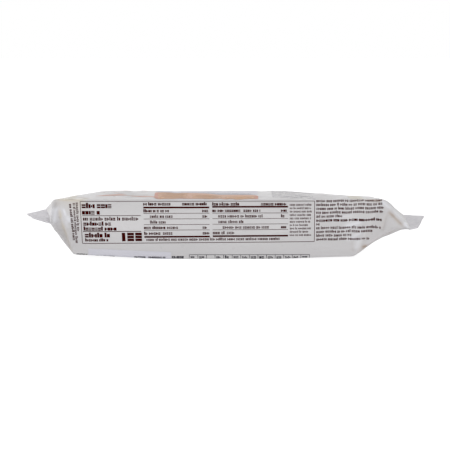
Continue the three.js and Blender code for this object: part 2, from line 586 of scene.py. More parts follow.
@dataclass(frozen=True)
class Crease:
    """A fold or soft dent in the film, seen square on to one panel.

    `start` and `end` are places on that panel: X and Z on a long side, X and Y on the top or the
    underside. `rise` is how far the film stands proud there, or sinks where it is negative, and
    `round` how rounded it is, from 0.2 for a pinched fold to 2 for a soft dent.
    """

    panel: Panel
    start: tuple[float, float]
    end: tuple[float, float]
    width: float
    rise: float
    bow: float = 0.0
    round: float = 0.35
    warmth: float = 0.0
    # Painted shade in tan along the crease, then painted highlight in white, laid with the film's
    # frosting
    blush: float = 0.0
    frost: float = 0.0


@dataclass(frozen=True)
class Wrinkle:
    """One size of random wrinkle in the film.

    `pitch` is its size along X, Y and Z, and `taut` and `loose` are how high it stands on the body
    and on the ends. A folded one has a sharp crest, and it settles where a weld holds the film.
    """

    pitch: tuple[float, float, float]
    seed: int
    taut: float
    loose: float
    folded: bool = False


WRINKLES = (
    Wrinkle((34.0, 26.0, 15.0), 3, taut=0.2, loose=0.2),
    Wrinkle((15.0, 11.0, 6.0), 5, taut=0.06, loose=0.2),
    Wrinkle((6.0, 5.0, 3.2), 8, taut=0.02, loose=0.14),
    Wrinkle((21.0, 17.0, 12.0), 12, taut=0.5, loose=1.3, folded=True),
    Wrinkle((9.0, 8.0, 6.0), 15, taut=0.12, loose=0.6, folded=True),
)


class Pleat(Enum):
    """How a pleat leaves a fin's root: its most drift, and the ranges of its width and reach."""

    DEEP = (18.0, (1.6, 3.4), (0.75, 1.0))
    FINE = (9.0, (0.8, 2.2), (0.3, 0.9))


@dataclass(frozen=True)
class Spread:
    """The ranges that one kind of random crease is picked from."""

    x: tuple[float, float]
    length: tuple[float, float]
    lean: tuple[float, float]
    width: tuple[float, float]
    rise: tuple[float, float]


EDGE_PUCKERS = Spread(
    x=(-104.0, 98.0), length=(6.0, 22.0), lean=(-9.0, 9.0), width=(1.2, 2.6), rise=(0.25, 0.65)
)
END_FOLDS = Spread(
    x=(66.0, 104.0), length=(16.0, 44.0), lean=(-0.5, 0.5), width=(1.6, 3.6), rise=(0.3, 0.75)
)
# How often an edge pucker lies on the near side, the top, the far side and the underside
PUCKER_ODDS = (0.12, 0.5, 0.28, 0.1)


@dataclass
class FilmTube:
    """The tube of film round the biscuits, with the ears and folds of its two ends.

    The film is a net of points. Its columns run from fin to fin, and its rows run round the tube.
    The last fields hold each column's panel, its side of the fin (1 above, -1 below, 0 on a fold),
    its share of the panel, its height on a long side, and its share of the fin's width.
    """

    body_depth: float = 84.0
    edge_height: float = 41.4
    top_crown: float = 2.0
    near_bulge: float = 3.6
    far_bulge: float = 3.0
    foot_bow: float = 2.6
    bulge_at_ends: float = 0.35
    hollow_height: float = 0.6
    hollow_inner: float = 6.5
    hollow_outer: float = 20.0
    fin_width: float = 124.0
    lip: float = 0.3
    half_side_steps: int = 44
    top_steps: int = 84
    bottom_steps: int = 60
    body_rows: int = 170
    softening_passes: int = 6
    creases: tuple[Crease, ...] = ()
    pleats: int = 150
    deep_pleats: int = 46
    pleat_margin: float = 3.0
    pleat_steepness: tuple[float, float] = (0.3, 0.55)
    pleats_above: float = 0.55
    pleats_outward: float = 0.6
    pleats_on_ears: float = 0.22
    pleats_grow: tuple[float, float] = (16.0, 40.0)
    pleat_fan: float = 1.5
    pleat_round: float = 0.3
    weld_hold: float = 0.75
    pleat_seed: int = 9
    pucker_count: int = 100
    fold_count: int = 26
    pucker_seed: int = 17
    fold_crest: float = 0.3
    biscuit_pitch: float = 31.0
    biscuit_start: float = -4.0
    biscuit_gap_depth: float = 0.4
    top_fill: float = 0.35
    pressed_flat: float = 0.85
    finish: WhiteFilm = WhiteFilm()
    panel: np.ndarray = field(init=False, repr=False)
    layer: np.ndarray = field(init=False, repr=False)
    share: np.ndarray = field(init=False, repr=False)
    climb: np.ndarray = field(init=False, repr=False)
    fin_share: np.ndarray = field(init=False, repr=False)
    net: np.ndarray = field(init=False, repr=False)
    row_out: np.ndarray = field(init=False, repr=False)
    surface: BVHTree = field(init=False, repr=False)

    def on(self, *panels: Panel) -> np.ndarray:
        """Tells which columns lie on any of the panels."""
        return np.isin(self.panel, [panel.value for panel in panels])

    def nearness(self, x: np.ndarray, end: PackEnd, stop: float, length: float) -> np.ndarray:
        """How far x has come from the body's middle towards an end's stop, from 0 to 1."""
        return smoothstep(end.side * x, end.side * stop - length, end.side * stop)

    def underside(self, x: np.ndarray) -> np.ndarray:
        """Height of the underside at x, which lifts towards both ends."""
        return sum(
            end.lift * self.nearness(x, end, end.bottom_near_x, end.lift_length)
            for end in (LEFT_END, RIGHT_END)
        )

    def far_top_edge(self, x: np.ndarray) -> np.ndarray:
        """Height of the far top edge at x, which drops towards both ends."""
        return self.edge_height - sum(
            end.far_drop * self.nearness(x, end, end.top_near_x, end.far_drop_length)
            for end in (LEFT_END, RIGHT_END)
        )

    def fullness(self, x: np.ndarray) -> np.ndarray:
        """1 along the middle of the body, falling to 0 at both ends."""
        return 1.0 - sum(
            self.nearness(x, end, end.top_near_x, end.far_drop_length)
            for end in (LEFT_END, RIGHT_END)
        )

    def side_reach(self, x: np.ndarray, climb: np.ndarray, bulge: float) -> np.ndarray:
        """Works out how far a long side stands off the middle plane.

        Args:
            x: The place along the pack.
            climb: The place up the side, from 0 at its foot to 1 at its top edge.
            bulge: How far the side swells halfway up.

        Returns:
            The distance from the middle plane.
        """
        full = self.fullness(x)
        bow = self.foot_bow * full * (1.0 - climb)
        return self.body_depth / 2 + bow + bulge * mix(self.bulge_at_ends, 1.0, full) * arch(climb)

    def lay_columns(self) -> None:
        """Unrolls the film into columns, each a line of film that runs from fin to fin."""

        def even(steps: int) -> np.ndarray:
            """Places from 0 to 1, twice as close at both ends as halfway."""
            k = np.arange(steps + 1) / steps
            return 0.5 * k + 0.25 * (1.0 - np.cos(np.pi * k))

        half = np.arange(self.half_side_steps) / self.half_side_steps
        runs = [
            (Panel.NEAR, 1, half),
            (Panel.TOP, 1, even(self.top_steps)),
            (Panel.FAR, 1, half[::-1]),
            (Panel.FAR, -1, half[1:]),
            (Panel.BOTTOM, -1, 1.0 - even(self.bottom_steps)),
            (Panel.NEAR, -1, half[:0:-1]),
        ]
        self.panel = np.concatenate([np.full(len(s), p.value) for p, _, s in runs])
        self.layer = np.concatenate([np.full(len(s), float(layer)) for _, layer, s in runs])
        self.share = np.concatenate([s for _, _, s in runs])
        on_side = self.on(Panel.NEAR, Panel.FAR)
        self.layer[on_side & (self.share == 0.0)] = 0.0
        self.climb = np.where(on_side, (1.0 + self.layer * self.share) / 2, 0.0)
        ear = (1.0 - self.body_depth / self.fin_width) / 2
        self.fin_share = np.select(
            [self.on(Panel.NEAR), self.on(Panel.FAR)],
            [ear * self.share, 1.0 - ear * self.share],
            mix(ear, 1.0 - ear, self.share),
        )

    def body_points(self, x: np.ndarray) -> np.ndarray:
        """Finds the film of the body.

        Args:
            x: The place along the pack of each row and column, or of each column.

        Returns:
            The points, in an array with one more axis than x.
        """
        low, full, far_edge = self.underside(x), self.fullness(x), self.far_top_edge(x)
        near = self.on(Panel.NEAR)
        bulge = np.where(near, self.near_bulge, self.far_bulge)
        reach = np.where(near, -1.0, 1.0) * self.side_reach(x, self.climb, bulge)
        side_z = mix(low, np.where(near, self.edge_height, far_edge), self.climb)
        side = np.stack([x, reach, side_z], -1)
        top_y = mix(-self.body_depth / 2, self.body_depth / 2, self.share)
        crown = self.top_crown * full * arch(self.share)
        top_z = mix(self.edge_height, far_edge, self.share) + crown
        top = np.stack([x, top_y + 0 * x, top_z], -1)
        foot = self.body_depth / 2 + self.foot_bow * full
        off_middle = np.abs(self.share - 0.5) * self.body_depth
        hollow = 1 - smoothstep(off_middle, self.hollow_inner, self.hollow_outer)
        bottom_z = low + self.hollow_height * hollow
        bottom = np.stack([x, mix(-foot, foot, self.share), bottom_z], -1)
        is_top, is_bottom = self.on(Panel.TOP)[:, None], self.on(Panel.BOTTOM)[:, None]
        return np.where(is_top, top, np.where(is_bottom, bottom, side))

    def stops(self, end: PackEnd) -> np.ndarray:
        """Finds where each column leaves the body.

        Args:
            end: The end that it goes to.

        Returns:
            One x a column.
        """
        depth = np.where(self.on(Panel.NEAR, Panel.FAR), 1.0 * self.on(Panel.FAR), self.share)
        height = np.where(self.on(Panel.TOP), 1.0, self.climb)
        top = mix(end.top_near_x, end.top_far_x, depth)
        bottom = mix(end.bottom_near_x, end.bottom_far_x, depth)
        return mix(bottom, top, height)

    def ear_folds(self, end: PackEnd) -> np.ndarray:
        """Finds where each column of an ear crosses the fold from the body's corner to the fin.

        Args:
            end: The end that the ear belongs to.

        Returns:
            One point a column, which has a meaning on the long sides alone.
        """
        upper, near = self.layer >= 0, self.on(Panel.NEAR)
        corner_x = np.where(
            near,
            np.where(upper, end.top_near_x, end.bottom_near_x),
            np.where(upper, end.top_far_x, end.bottom_far_x),
        )
        reach = np.where(near, -1.0, 1.0) * self.side_reach(corner_x, 1.0 * upper, 0.0)
        top_z = np.where(near, self.edge_height, self.far_top_edge(corner_x))
        corner_z = np.where(upper, top_z, self.underside(corner_x))
        fold_from = np.stack([corner_x, reach, corner_z], -1)
        fold_to = np.where(near[:, None], np.array(end.root_near), np.array(end.root_far))
        fold = mix(fold_to, fold_from, self.share[:, None])
        # The fold bows most a little nearer the fin
        bow = np.where(upper, end.upper_fold_bow, end.lower_fold_bow)
        fold[:, 2] += bow * arch(self.share**0.6)
        return fold

    def end_rows(self, end: PackEnd, outs: np.ndarray) -> np.ndarray:
        """Finds the film of one end.

        Args:
            end: The end.
            outs: Each row's place, from 0 at the body to 1 at the fin's root.

        Returns:
            The points by row and column.
        """
        start = self.body_points(self.stops(end))
        root = mix(np.array(end.root_near), np.array(end.root_far), self.fin_share[:, None])
        root[:, 2] += self.layer * self.lip
        out = outs[:, None]
        above = mix(end.puff_near, end.puff_far, self.fin_share) * arch(out**end.puff_skew)
        below = end.puff_below * arch(out**1.4)
        puff = math.sqrt(0.5) * np.where(self.layer > 0, above, below)
        puffed = np.stack([end.side * puff, 0 * puff, self.layer * puff], -1)
        plain = mix(start, root, out[..., None]) + puffed

        fold, fold_at = self.ear_folds(end), 1.0 - self.share
        to_fold = np.clip(out / np.maximum(fold_at, TINY), 0, 1)[..., None]
        past_fold = np.clip((out - fold_at) / np.maximum(self.share, TINY), 0, 1)[..., None]
        before = mix(start, fold, to_fold)
        after = mix(fold, root, past_fold) + puffed * self.share[:, None]
        ear = np.where((out <= fold_at)[..., None], before, after)
        return np.where(self.on(Panel.NEAR, Panel.FAR)[:, None], ear, plain)

    def soften(self, net: np.ndarray, passes: int) -> np.ndarray:
        """Rounds the net's folds by drawing each point towards its neighbours.

        Args:
            net: The points by row and column. Its first and last rows stay where they are.
            passes: How many times it is done.

        Returns:
            The same net.
        """
        for _ in range(passes):
            inner = net[1:-1]
            mean = (net[:-2] + net[2:] + np.roll(inner, 1, 1) + np.roll(inner, -1, 1)) / 4
            net[1:-1] = (inner + mean) / 2
        return net

    def normals(self, net: np.ndarray) -> np.ndarray:
        """Finds the net's outward unit normals."""
        across = np.roll(net, -1, 1) - np.roll(net, 1, 1)
        return unit(np.cross(np.gradient(net, axis=0), across))

    def press_creases(self, net: np.ndarray) -> tuple[np.ndarray, dict[str, np.ndarray]]:
        """Works out what the creases do to the film.

        Args:
            net: The points by row and column.

        Returns:
            How far each point moves outward, and its share of cream, of tan painted shade and of
            white painted highlight.
        """
        facing = self.normals(net)
        rise = np.zeros(net.shape[:2])
        tints = {name: np.zeros(rise.shape) for name in ("warmth", "blush", "frost")}
        views = {
            Panel.NEAR: ([0, 2], -facing[..., 1]),
            Panel.FAR: ([0, 2], facing[..., 1]),
            Panel.TOP: ([0, 1], facing[..., 2]),
            Panel.BOTTOM: ([0, 1], -facing[..., 2]),
        }
        for crease in (*self.creases, *self.puckers()):
            axes, turned = views[crease.panel]
            start = np.array(crease.start)
            place, run = net[..., axes] - start, np.array(crease.end) - start
            length = np.hypot(*run)
            ahead = run / length
            share = (place @ ahead) / length
            off = place @ np.array([-ahead[1], ahead[0]]) - crease.bow * arch(share)
            over = np.maximum(np.abs(share - 0.5) - 0.5, 0.0) * length
            shape = stroke(np.hypot(off, over) / crease.width, crease.round)
            from_end = np.minimum(share, 1 - share) * length
            shape *= smoothstep(from_end, -0.5 * crease.width, 0.3 * length)
            shape *= smoothstep(turned, 0.02, 0.35)
            rise += crease.rise * shape
            for name, tint in tints.items():
                tint += getattr(crease, name) * shape
        return rise, tints

    def gathers(self, rows: np.ndarray) -> np.ndarray:
        """Works out the pleats that run out of each fin's root.

        Args:
            rows: Each row's place from 0 at the body to 1 at a fin's root.

        Returns:
            How far each point moves outward.
        """
        rng = np.random.default_rng(self.pleat_seed)
        place = self.fin_share * self.fin_width
        is_left = np.arange(len(rows)) < len(rows) / 2
        rise = np.zeros((len(rows), len(place)))
        for k in range(self.pleats):
            most_drift, widths, reaches = (Pleat.DEEP if k < self.deep_pleats else Pleat.FINE).value
            side = 1 if rng.random() < self.pleats_above else -1
            foot = rng.uniform(self.pleat_margin, self.fin_width - self.pleat_margin)
            drift = rng.uniform(-most_drift, most_drift)
            width, reach = rng.uniform(*widths), rng.uniform(*reaches)
            size = width * rng.uniform(*self.pleat_steepness)
            size *= 1 if rng.random() < self.pleats_outward else -1
            on_end = rows * (is_left if rng.random() < 0.5 else ~is_left)
            # A pleat fans out and fades away from the root, and the weld itself holds it down
            line = foot + drift * (1.0 - on_end)
            across = (place - line[:, None]) / (width * mix(self.pleat_fan, 1.0, on_end)[:, None])
            fade = smoothstep(on_end, 1.0 - reach, 1.0 - 0.45 * reach)
            fade *= 1.0 - self.weld_hold * smoothstep(on_end, 0.94, 1.0)
            rise += size * stroke(across, self.pleat_round) * fade[:, None] * (self.layer == side)
        # The ear of the printed side is pulled tight, so its pleats are faint
        pull = mix(self.pleats_on_ears, 1.0, smoothstep(place, *self.pleats_grow))
        return rise * np.where(self.on(Panel.NEAR, Panel.FAR), self.pleats_on_ears, pull)

    def edge_pucker(self, rng: np.random.Generator) -> Crease:
        """Picks one small crease that runs from a long edge onto a face.

        Args:
            rng: Picks it.

        Returns:
            The crease.
        """
        x = rng.uniform(*EDGE_PUCKERS.x)
        long, lean = rng.uniform(*EDGE_PUCKERS.length), rng.uniform(*EDGE_PUCKERS.lean)
        width = rng.uniform(*EDGE_PUCKERS.width)
        rise = rng.uniform(*EDGE_PUCKERS.rise) * rng.choice((-1, 1))
        panel = list(Panel)[rng.choice(len(Panel), p=PUCKER_ODDS)]
        if panel in (Panel.TOP, Panel.BOTTOM):
            edge = self.body_depth / 2 * rng.choice((-1, 1))
            inward = -math.copysign(long, edge)
            rise *= 0.5 if edge > 0.0 else 1.0
        else:
            edge, inward = self.edge_height, -long
            rise *= 0.45 if panel is Panel.NEAR else 0.8
        return Crease(panel, (x, edge), (x + lean, edge + inward), width, rise)

    def end_fold(self, rng: np.random.Generator) -> Crease:
        """Picks one long soft fold that runs from an end of the top towards its middle.

        Args:
            rng: Picks it.

        Returns:
            The fold.
        """
        side = rng.choice((-1, 1))
        x, y = side * rng.uniform(*END_FOLDS.x), rng.uniform(-36.0, 36.0)
        long, lean = rng.uniform(*END_FOLDS.length), rng.uniform(*END_FOLDS.lean)
        stop_y = float(np.clip(y + long * math.sin(lean), -38.0, 38.0))
        width = rng.uniform(*END_FOLDS.width)
        rise = rng.uniform(*END_FOLDS.rise) * rng.choice((-1, 1))
        # The far half of the top is drawn tighter
        rise *= 0.6 if y > 8.0 else 1.0
        stop = (x - side * long * math.cos(lean), stop_y)
        return Crease(Panel.TOP, (x, y), stop, width, rise, bow=rng.uniform(-2.0, 2.0))

    def puckers(self) -> list[Crease]:
        """Picks all the random creases and folds of the body."""
        rng = np.random.default_rng(self.pucker_seed)
        puckers = [self.edge_pucker(rng) for _ in range(self.pucker_count)]
        return puckers + [self.end_fold(rng) for _ in range(self.fold_count)]

    def relief(self, net: np.ndarray, rows: np.ndarray) -> tuple[np.ndarray, dict[str, np.ndarray]]:
        """Works out the film's whole relief and its tints.

        Args:
            net: The points by row and column.
            rows: Each row's place from 0 at the body to 1 at a fin's root.

        Returns:
            How far each point moves outward, and its share of cream, of tan painted shade and of
            white painted highlight.
        """
        rise, tints = self.press_creases(net)
        rise += self.gathers(rows)
        out = rows[:, None]
        loose = smoothstep(out, 0.0, 0.4)
        calm = 1.0 - 0.6 * smoothstep(out, 0.75, 1.0)
        points = net.reshape(-1, 3)
        for wrinkle in WRINKLES:
            height = lattice_noise(points, wrinkle.pitch, wrinkle.seed).reshape(rise.shape)
            if wrinkle.folded:
                height = (self.fold_crest - np.abs(height)) * calm
            rise += mix(wrinkle.taut, wrinkle.loose, loose) * height
        rise += self.top_fill * self.on(Panel.TOP) * (1.0 - out)
        # The film sinks a little between one biscuit and the next, which lie across the pack
        along = net[..., 0] - self.biscuit_start
        beat = 0.5 + 0.5 * np.cos(2.0 * math.pi * along / self.biscuit_pitch)
        over = self.on(Panel.TOP) * arch(self.share) ** 0.6
        rise -= self.biscuit_gap_depth * beat**6 * over * (out == 0.0)
        # The pack lies on its underside, which is pressed flat
        rise *= 1.0 - self.pressed_flat * self.on(Panel.BOTTOM) * (1.0 - smoothstep(out, 0.0, 0.2))
        # The rows at the fins' roots stay, so that the fins meet the film
        index = np.arange(len(rows))
        held = smoothstep(index, 0, 2) * smoothstep(index[::-1], 0, 2)
        return rise * held[:, None], tints

    def root_faces(self) -> list[tuple[int, ...]]:
        """Lists the faces that close the tube at both fins' roots, from upper film to lower."""
        rows, count = self.net.shape[:2]
        last = (rows - 1) * count
        far_fold = int(np.argmax(self.on(Panel.FAR) & (self.share == 0.0)))
        faces = []
        for j in range(far_fold):
            if j + 1 < far_fold and count - j - 1 > far_fold:
                corners = (j, j + 1, (count - j - 1) % count, (count - j) % count)
                ring = list(dict.fromkeys(corners))
                faces += [tuple(ring), tuple(last + v for v in reversed(ring))]
        return faces

    def build(self) -> bpy.types.Object:
        """Builds the tube, keeps its net and its surface for what lies on it, and returns it."""
        self.lay_columns()
        outs = 1.0 - np.arange(self.half_side_steps) / self.half_side_steps
        k = np.linspace(0.0, 1.0, self.body_rows + 1)[:, None]
        body = self.body_points(mix(self.stops(LEFT_END), self.stops(RIGHT_END), k))
        net = np.concatenate(
            [self.end_rows(LEFT_END, outs), body, self.end_rows(RIGHT_END, outs)[::-1]]
        )
        rows = np.concatenate([outs, np.zeros(len(body)), outs[::-1]])
        net = self.soften(net, self.softening_passes)
        rise, tints = self.relief(net, rows)
        net = self.soften(net + self.normals(net) * rise[..., None], 1)
        net[..., 2] = np.maximum(net[..., 2], 0.0)
        self.net, self.row_out = net, rows

        points, faces = net.reshape(-1, 3), grid_faces(*net.shape[:2], wraps=True)
        self.surface = BVHTree.FromPolygons(points.tolist(), faces)
        faces += self.root_faces()
        piece = make_piece("film_tube", points, faces, self.finish.material())
        for name, values in tints.items():
            layer = piece.data.attributes.new(name, "FLOAT", "POINT")
            layer.data.foreach_set("value", np.clip(values, 0, 1).ravel().astype(np.float32))
        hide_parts("film_pack")
        return piece


@dataclass
class CrimpFin:
    """The heat-sealed fin at one end, with the ridges of the crimping jaws and a pinked cut edge.

    `across` and `out` are how many points it has along its root and out to its cut edge. `weld` is
    its thickness at the root, and `sheet` beyond it. `thin_edge` is the share of that which is left
    at its two ends. `waver` and `dimple` are how far it waves and dimples.
    """

    name: str
    end: PackEnd
    finish: CrimpedFilm
    ridge_pitch: float = 1.8
    ridge_height: float = 0.34
    sheet: float = 0.26
    weld: float = 0.55
    thin_edge: float = 0.35
    thin_width: float = 1.2
    tooth_pitch: float = 2.2
    tooth_depth: float = 0.5
    tuck: float = 0.8
    ridges_grow: tuple[float, float] = (-0.2, 1.6)
    waver: float = 0.55
    waver_pitch: tuple[float, float, float] = (30.0, 24.0, 50.0)
    dimple: float = 0.12
    dimple_pitch: tuple[float, float, float] = (5.0, 4.0, 50.0)
    across: int = 470
    out: int = 30
    seed: int = 4

    def build(self) -> bpy.types.Object:
        """Builds the fin and returns it."""
        end = self.end
        root_near, root_far = np.array(end.root_near), np.array(end.root_far)
        share = np.linspace(0.0, 1.0, self.across)[None, :, None]
        out = np.linspace(0.0, 1.0, self.out)[:, None]
        root = mix(root_near, root_far, share)
        tip = mix(np.array(end.tip_near), np.array(end.tip_far), share)
        length = np.linalg.norm(tip - root, axis=2)
        ahead = unit(tip - root)
        base = mix(root - ahead * self.tuck, tip, out[..., None])
        place = (share * np.linalg.norm(root_far - root_near))[..., 0]
        teeth = np.abs(((place / self.tooth_pitch) % 1.0) - 0.5) * 2.0
        base = base - ahead * (self.tooth_depth * teeth * out**6)[..., None]
        # The jaws' ridges grow over the first millimetres beyond the root
        grown = smoothstep(out * length - self.tuck, *self.ridges_grow)
        flat, shape = base.reshape(-1, 3), base.shape[:2]
        waver = lattice_noise(flat, self.waver_pitch, self.seed).reshape(shape)
        dimple = lattice_noise(flat, self.dimple_pitch, self.seed + 1).reshape(shape)
        ridge = np.sin(place / self.ridge_pitch * 2.0 * math.pi)
        ridge = np.sign(ridge) * np.abs(ridge) ** 0.7
        lift = self.ridge_height * ridge * grown * (0.85 + 0.3 * dimple)
        lift = lift + self.waver * waver * out**1.5 + self.dimple * dimple * out
        edge = np.minimum(place, place[:, -1:] - place)
        thick = mix(self.weld, self.sheet, grown) / 2
        thick = thick * mix(self.thin_edge, 1.0, smoothstep(edge, 0.0, self.thin_width))
        upper, lower = base.copy(), base.copy()
        upper[..., 2] += lift + thick
        lower[..., 2] += lift - thick
        points, faces = closed_sheet(upper, lower, turned=end.side < 0)
        return make_piece(self.name, points, faces, self.finish.material())


@dataclass
class LapSeam:
    """The lengthwise seam of the underside, two edges of film welded and pressed into its hollow.

    It runs along the film's middle line, `depth` below it, and its two faces stand `proud` below
    and `sunk` above that. `clearance` is the least height over the ground.
    """

    tube: FilmTube
    finish: CrimpedFilm
    width: float = 12.5
    ridge_pitch: float = 2.0
    ridge_height: float = 0.07
    depth: float = 0.26
    proud: float = 0.13
    sunk: float = 0.05
    clearance: float = 0.03
    margin: float = 1.0
    pace: float = 0.42
    steps: int = 10

    def build(self) -> bpy.types.Object:
        """Builds the seam and returns it."""
        columns = np.flatnonzero(self.tube.on(Panel.BOTTOM))
        line = self.tube.net[:, columns[len(columns) // 2]]
        length = line_length(line)
        places = np.arange(self.margin, length[-1] - self.margin, self.pace)
        spine = sample(line, length, places)
        slope = unit(np.gradient(spine, axis=0))
        down = np.stack([slope[:, 2], 0 * slope[:, 0], -slope[:, 0]], 1)
        across = np.linspace(-self.width / 2, self.width / 2, self.steps)
        flat = spine[:, None] + np.array([0.0, 1.0, 0.0]) * across[:, None]
        drop = self.depth + self.ridge_height * np.sin(places / self.ridge_pitch * 2.0 * math.pi)
        layers = []
        for offset in (self.proud, -self.sunk):
            layer = flat + (down * (drop + offset)[:, None])[:, None]
            layer[..., 2] = np.maximum(layer[..., 2], self.clearance)
            layers.append(layer)
        points, faces = closed_sheet(*layers, turned=True)
        return make_piece("lap_seam", points, faces, self.finish.material())


# ---------------------------------------------------------------------------------------------
# What is printed and stuck on the film
# ---------------------------------------------------------------------------------------------


class Weight(Enum):
    """How heavily a line of plain marks is set: stem width and gap as shares of its height."""

    FINE = (0.2, 0.15)
    BOOK = (0.25, 0.13)
    BOLD = (0.36, 0.08)
    HEAVY = (0.4, 0.07)


class Mark(Enum):
    """A kind of plain mark. Its value is the share of all marks up to this kind and with it."""

    TALL = 0.1
    SHORT = 0.3
    THICK = 0.5
    DOUBLE = 0.68
    TRIPLE = 0.8
    BARRED = 1.0

    @classmethod
    def pick(cls, rng: np.random.Generator) -> "Mark":
        """Picks a kind."""
        chance = rng.random()
        return next(mark for mark in cls if chance < mark.value)


# Measures of the marks, as shares of a line's height
SHORTER_BY = 0.27
SLIT = 0.07
BAR_HALF = 0.2
WORD_GAP = 0.34
MARK_WIDTHS = (0.24, 0.4)
# A thick mark is so many stems wide, and the gap in a stack so many slits
THICKER = 1.6


@dataclass
class Sheet:
    """A print run in one ink: flat shapes that are pressed onto the film when it is finished.

    It lies `clearance` off the film, in patches of squares no larger than `grain`. `side_middle` is
    the height of a long side's middle, and `side_reach` its least distance from the middle plane. A
    place past the rim is drawn back by `draw_back` at a time.
    """

    name: str
    finish: PrintedInk
    tube: FilmTube
    panel: Panel
    clearance: float = 0.08
    grain: float = 0.9
    side_middle: float = 20.0
    side_reach: float = 40.0
    draw_back: float = 0.25
    tries: int = 12
    ray_start: float = 90.0
    points: list = field(default_factory=list)
    faces: list = field(default_factory=list)

    def drop(self, place: np.ndarray) -> Vector | None:
        """Finds the film under a place.

        Args:
            place: X and Z on a long side, or X and Y on the top.

        Returns:
            The point just clear of the film, or nothing where a ray misses it.
        """
        u, v = float(place[0]), float(place[1])
        upright = self.panel is not Panel.TOP
        # On a long side a place just past the rim is drawn back until it lies on the side itself
        back = math.copysign(self.draw_back, self.side_middle - v) if upright else 0.0
        for k in range(self.tries if upright else 1):
            at = v + back * k
            rays = {
                Panel.NEAR: (Vector((u, -self.ray_start, at)), Vector((0, 1, 0))),
                Panel.FAR: (Vector((u, self.ray_start, at)), Vector((0, -1, 0))),
                Panel.TOP: (Vector((u, at, self.ray_start)), Vector((0, 0, -1))),
            }
            start, ahead = rays[self.panel]
            hit, normal, _, _ = self.tube.surface.ray_cast(start, ahead)
            if hit is not None and (not upright or abs(hit.y) > self.side_reach):
                return hit + normal * math.copysign(self.clearance, -normal.dot(ahead))
        return None

    def add_grid(self, places: np.ndarray) -> None:
        """Presses one patch onto the film, unless a part of it would miss the film.

        Args:
            places: The patch's places on the panel, by row and column.
        """
        hits = [self.drop(place) for place in places.reshape(-1, 2)]
        if any(hit is None for hit in hits):
            return
        first = len(self.points)
        self.points += [tuple(hit) for hit in hits]
        for face in grid_faces(*places.shape[:2]):
            self.faces.append(tuple(first + v for v in face))

    def add_quad(self, *corners: tuple[float, float]) -> None:
        """Presses a four-cornered patch onto the film.

        Args:
            corners: Its four corners, in order round it.
        """
        a, b, c, d = (np.array(corner, float) for corner in corners)
        wide = max(np.linalg.norm(b - a), np.linalg.norm(c - d))
        high = max(np.linalg.norm(d - a), np.linalg.norm(c - b))
        s = np.linspace(0, 1, max(2, math.ceil(wide / self.grain) + 1))[:, None, None]
        t = np.linspace(0, 1, max(2, math.ceil(high / self.grain) + 1))[None, :, None]
        self.add_grid(mix(mix(a, b, s), mix(d, c, s), t))

    def finish_piece(self) -> bpy.types.Object:
        """Turns every face outward, builds the run's mesh and returns it."""
        points = np.array(self.points)
        axis, outward = {Panel.NEAR: (1, -1), Panel.FAR: (1, 1), Panel.TOP: (2, 1)}[self.panel]
        faces = []
        for face in self.faces:
            a, b, c = (points[v] for v in face[:3])
            facing = np.cross(b - a, c - b)[axis] * outward
            faces.append(face if facing > 0 else tuple(reversed(face)))
        return make_piece(self.name, points, faces, self.finish.material())


@dataclass(frozen=True)
class Block:
    """A four-cornered block of the layout, measured in millimetres from its top left corner.

    `wave` is how far its lines wave where the film under it is loose.
    """

    top_left: tuple[float, float]
    top_right: tuple[float, float]
    bottom_left: tuple[float, float]
    bottom_right: tuple[float, float]
    width: float
    height: float
    wave: float = 0.0

    def place(self, across: float, down: float) -> tuple[float, float]:
        """Finds where a place in the block lies on its panel.

        Args:
            across: How far the place is from the block's left edge.
            down: How far it is below the block's top edge.

        Returns:
            The place on the panel.
        """
        s, t = across / self.width, down / self.height
        top = mix(np.array(self.top_left), np.array(self.top_right), s)
        bottom = mix(np.array(self.bottom_left), np.array(self.bottom_right), s)
        u, v = mix(top, bottom, t)
        return u, v + self.wave * (0.4 + s) * math.sin(across * 0.42 + down * 0.19)

    def bar(self, sheet: Sheet, left: float, right: float, top: float, bottom: float) -> None:
        """Prints a solid bar."""
        corners = ((left, bottom), (right, bottom), (right, top), (left, top))
        sheet.add_quad(*(self.place(across, down) for across, down in corners))

    def rule(self, sheet: Sheet, left: float, right: float, down: float, weight: float) -> None:
        """Prints a level rule centred on a height."""
        self.bar(sheet, left, right, down - weight / 2, down + weight / 2)

    def post(self, sheet: Sheet, across: float, top: float, bottom: float, weight: float) -> None:
        """Prints an upright rule centred on a place across."""
        self.bar(sheet, across - weight / 2, across + weight / 2, top, bottom)

    def words(
        self,
        sheet: Sheet,
        left: float,
        right: float,
        top: float,
        bottom: float,
        weight: Weight,
        rng: np.random.Generator,
    ) -> None:
        """Prints a line of plain marks that stand for small print.

        Args:
            sheet: The print run.
            left: Where the line starts.
            right: Where it ends at the latest.
            top: The top of its tallest marks.
            bottom: The line that the marks stand on.
            weight: How heavily it is set.
            rng: Picks the marks.
        """
        height = bottom - top
        stem, gap = (share * height for share in weight.value)
        low_top, slit = top + SHORTER_BY * height, SLIT * height
        middle, half = (low_top + bottom) / 2, BAR_HALF * height
        at = left
        while at < right - stem:
            for _ in range(int(rng.integers(2, 9))):
                mark = Mark.pick(rng)
                wide = stem + rng.uniform(*MARK_WIDTHS) * height
                if at + wide > right:
                    return
                if mark in (Mark.TALL, Mark.SHORT):
                    wide = stem
                    self.bar(sheet, at, at + wide, top if mark is Mark.TALL else low_top, bottom)
                elif mark is Mark.THICK:
                    wide = stem * THICKER
                    self.bar(sheet, at, at + wide, low_top, bottom)
                elif mark is Mark.BARRED:
                    self.bar(sheet, at, at + stem, low_top, bottom)
                    self.bar(sheet, at + stem + slit, at + wide, middle - half, middle + half)
                else:
                    rows = 2 if mark is Mark.DOUBLE else 3
                    tall = (bottom - low_top - slit * THICKER * (rows - 1)) / rows
                    for k in range(rows):
                        level = low_top + k * (tall + slit * THICKER)
                        self.bar(sheet, at, at + wide, level, level + tall)
                at += wide + gap
            at += WORD_GAP * height


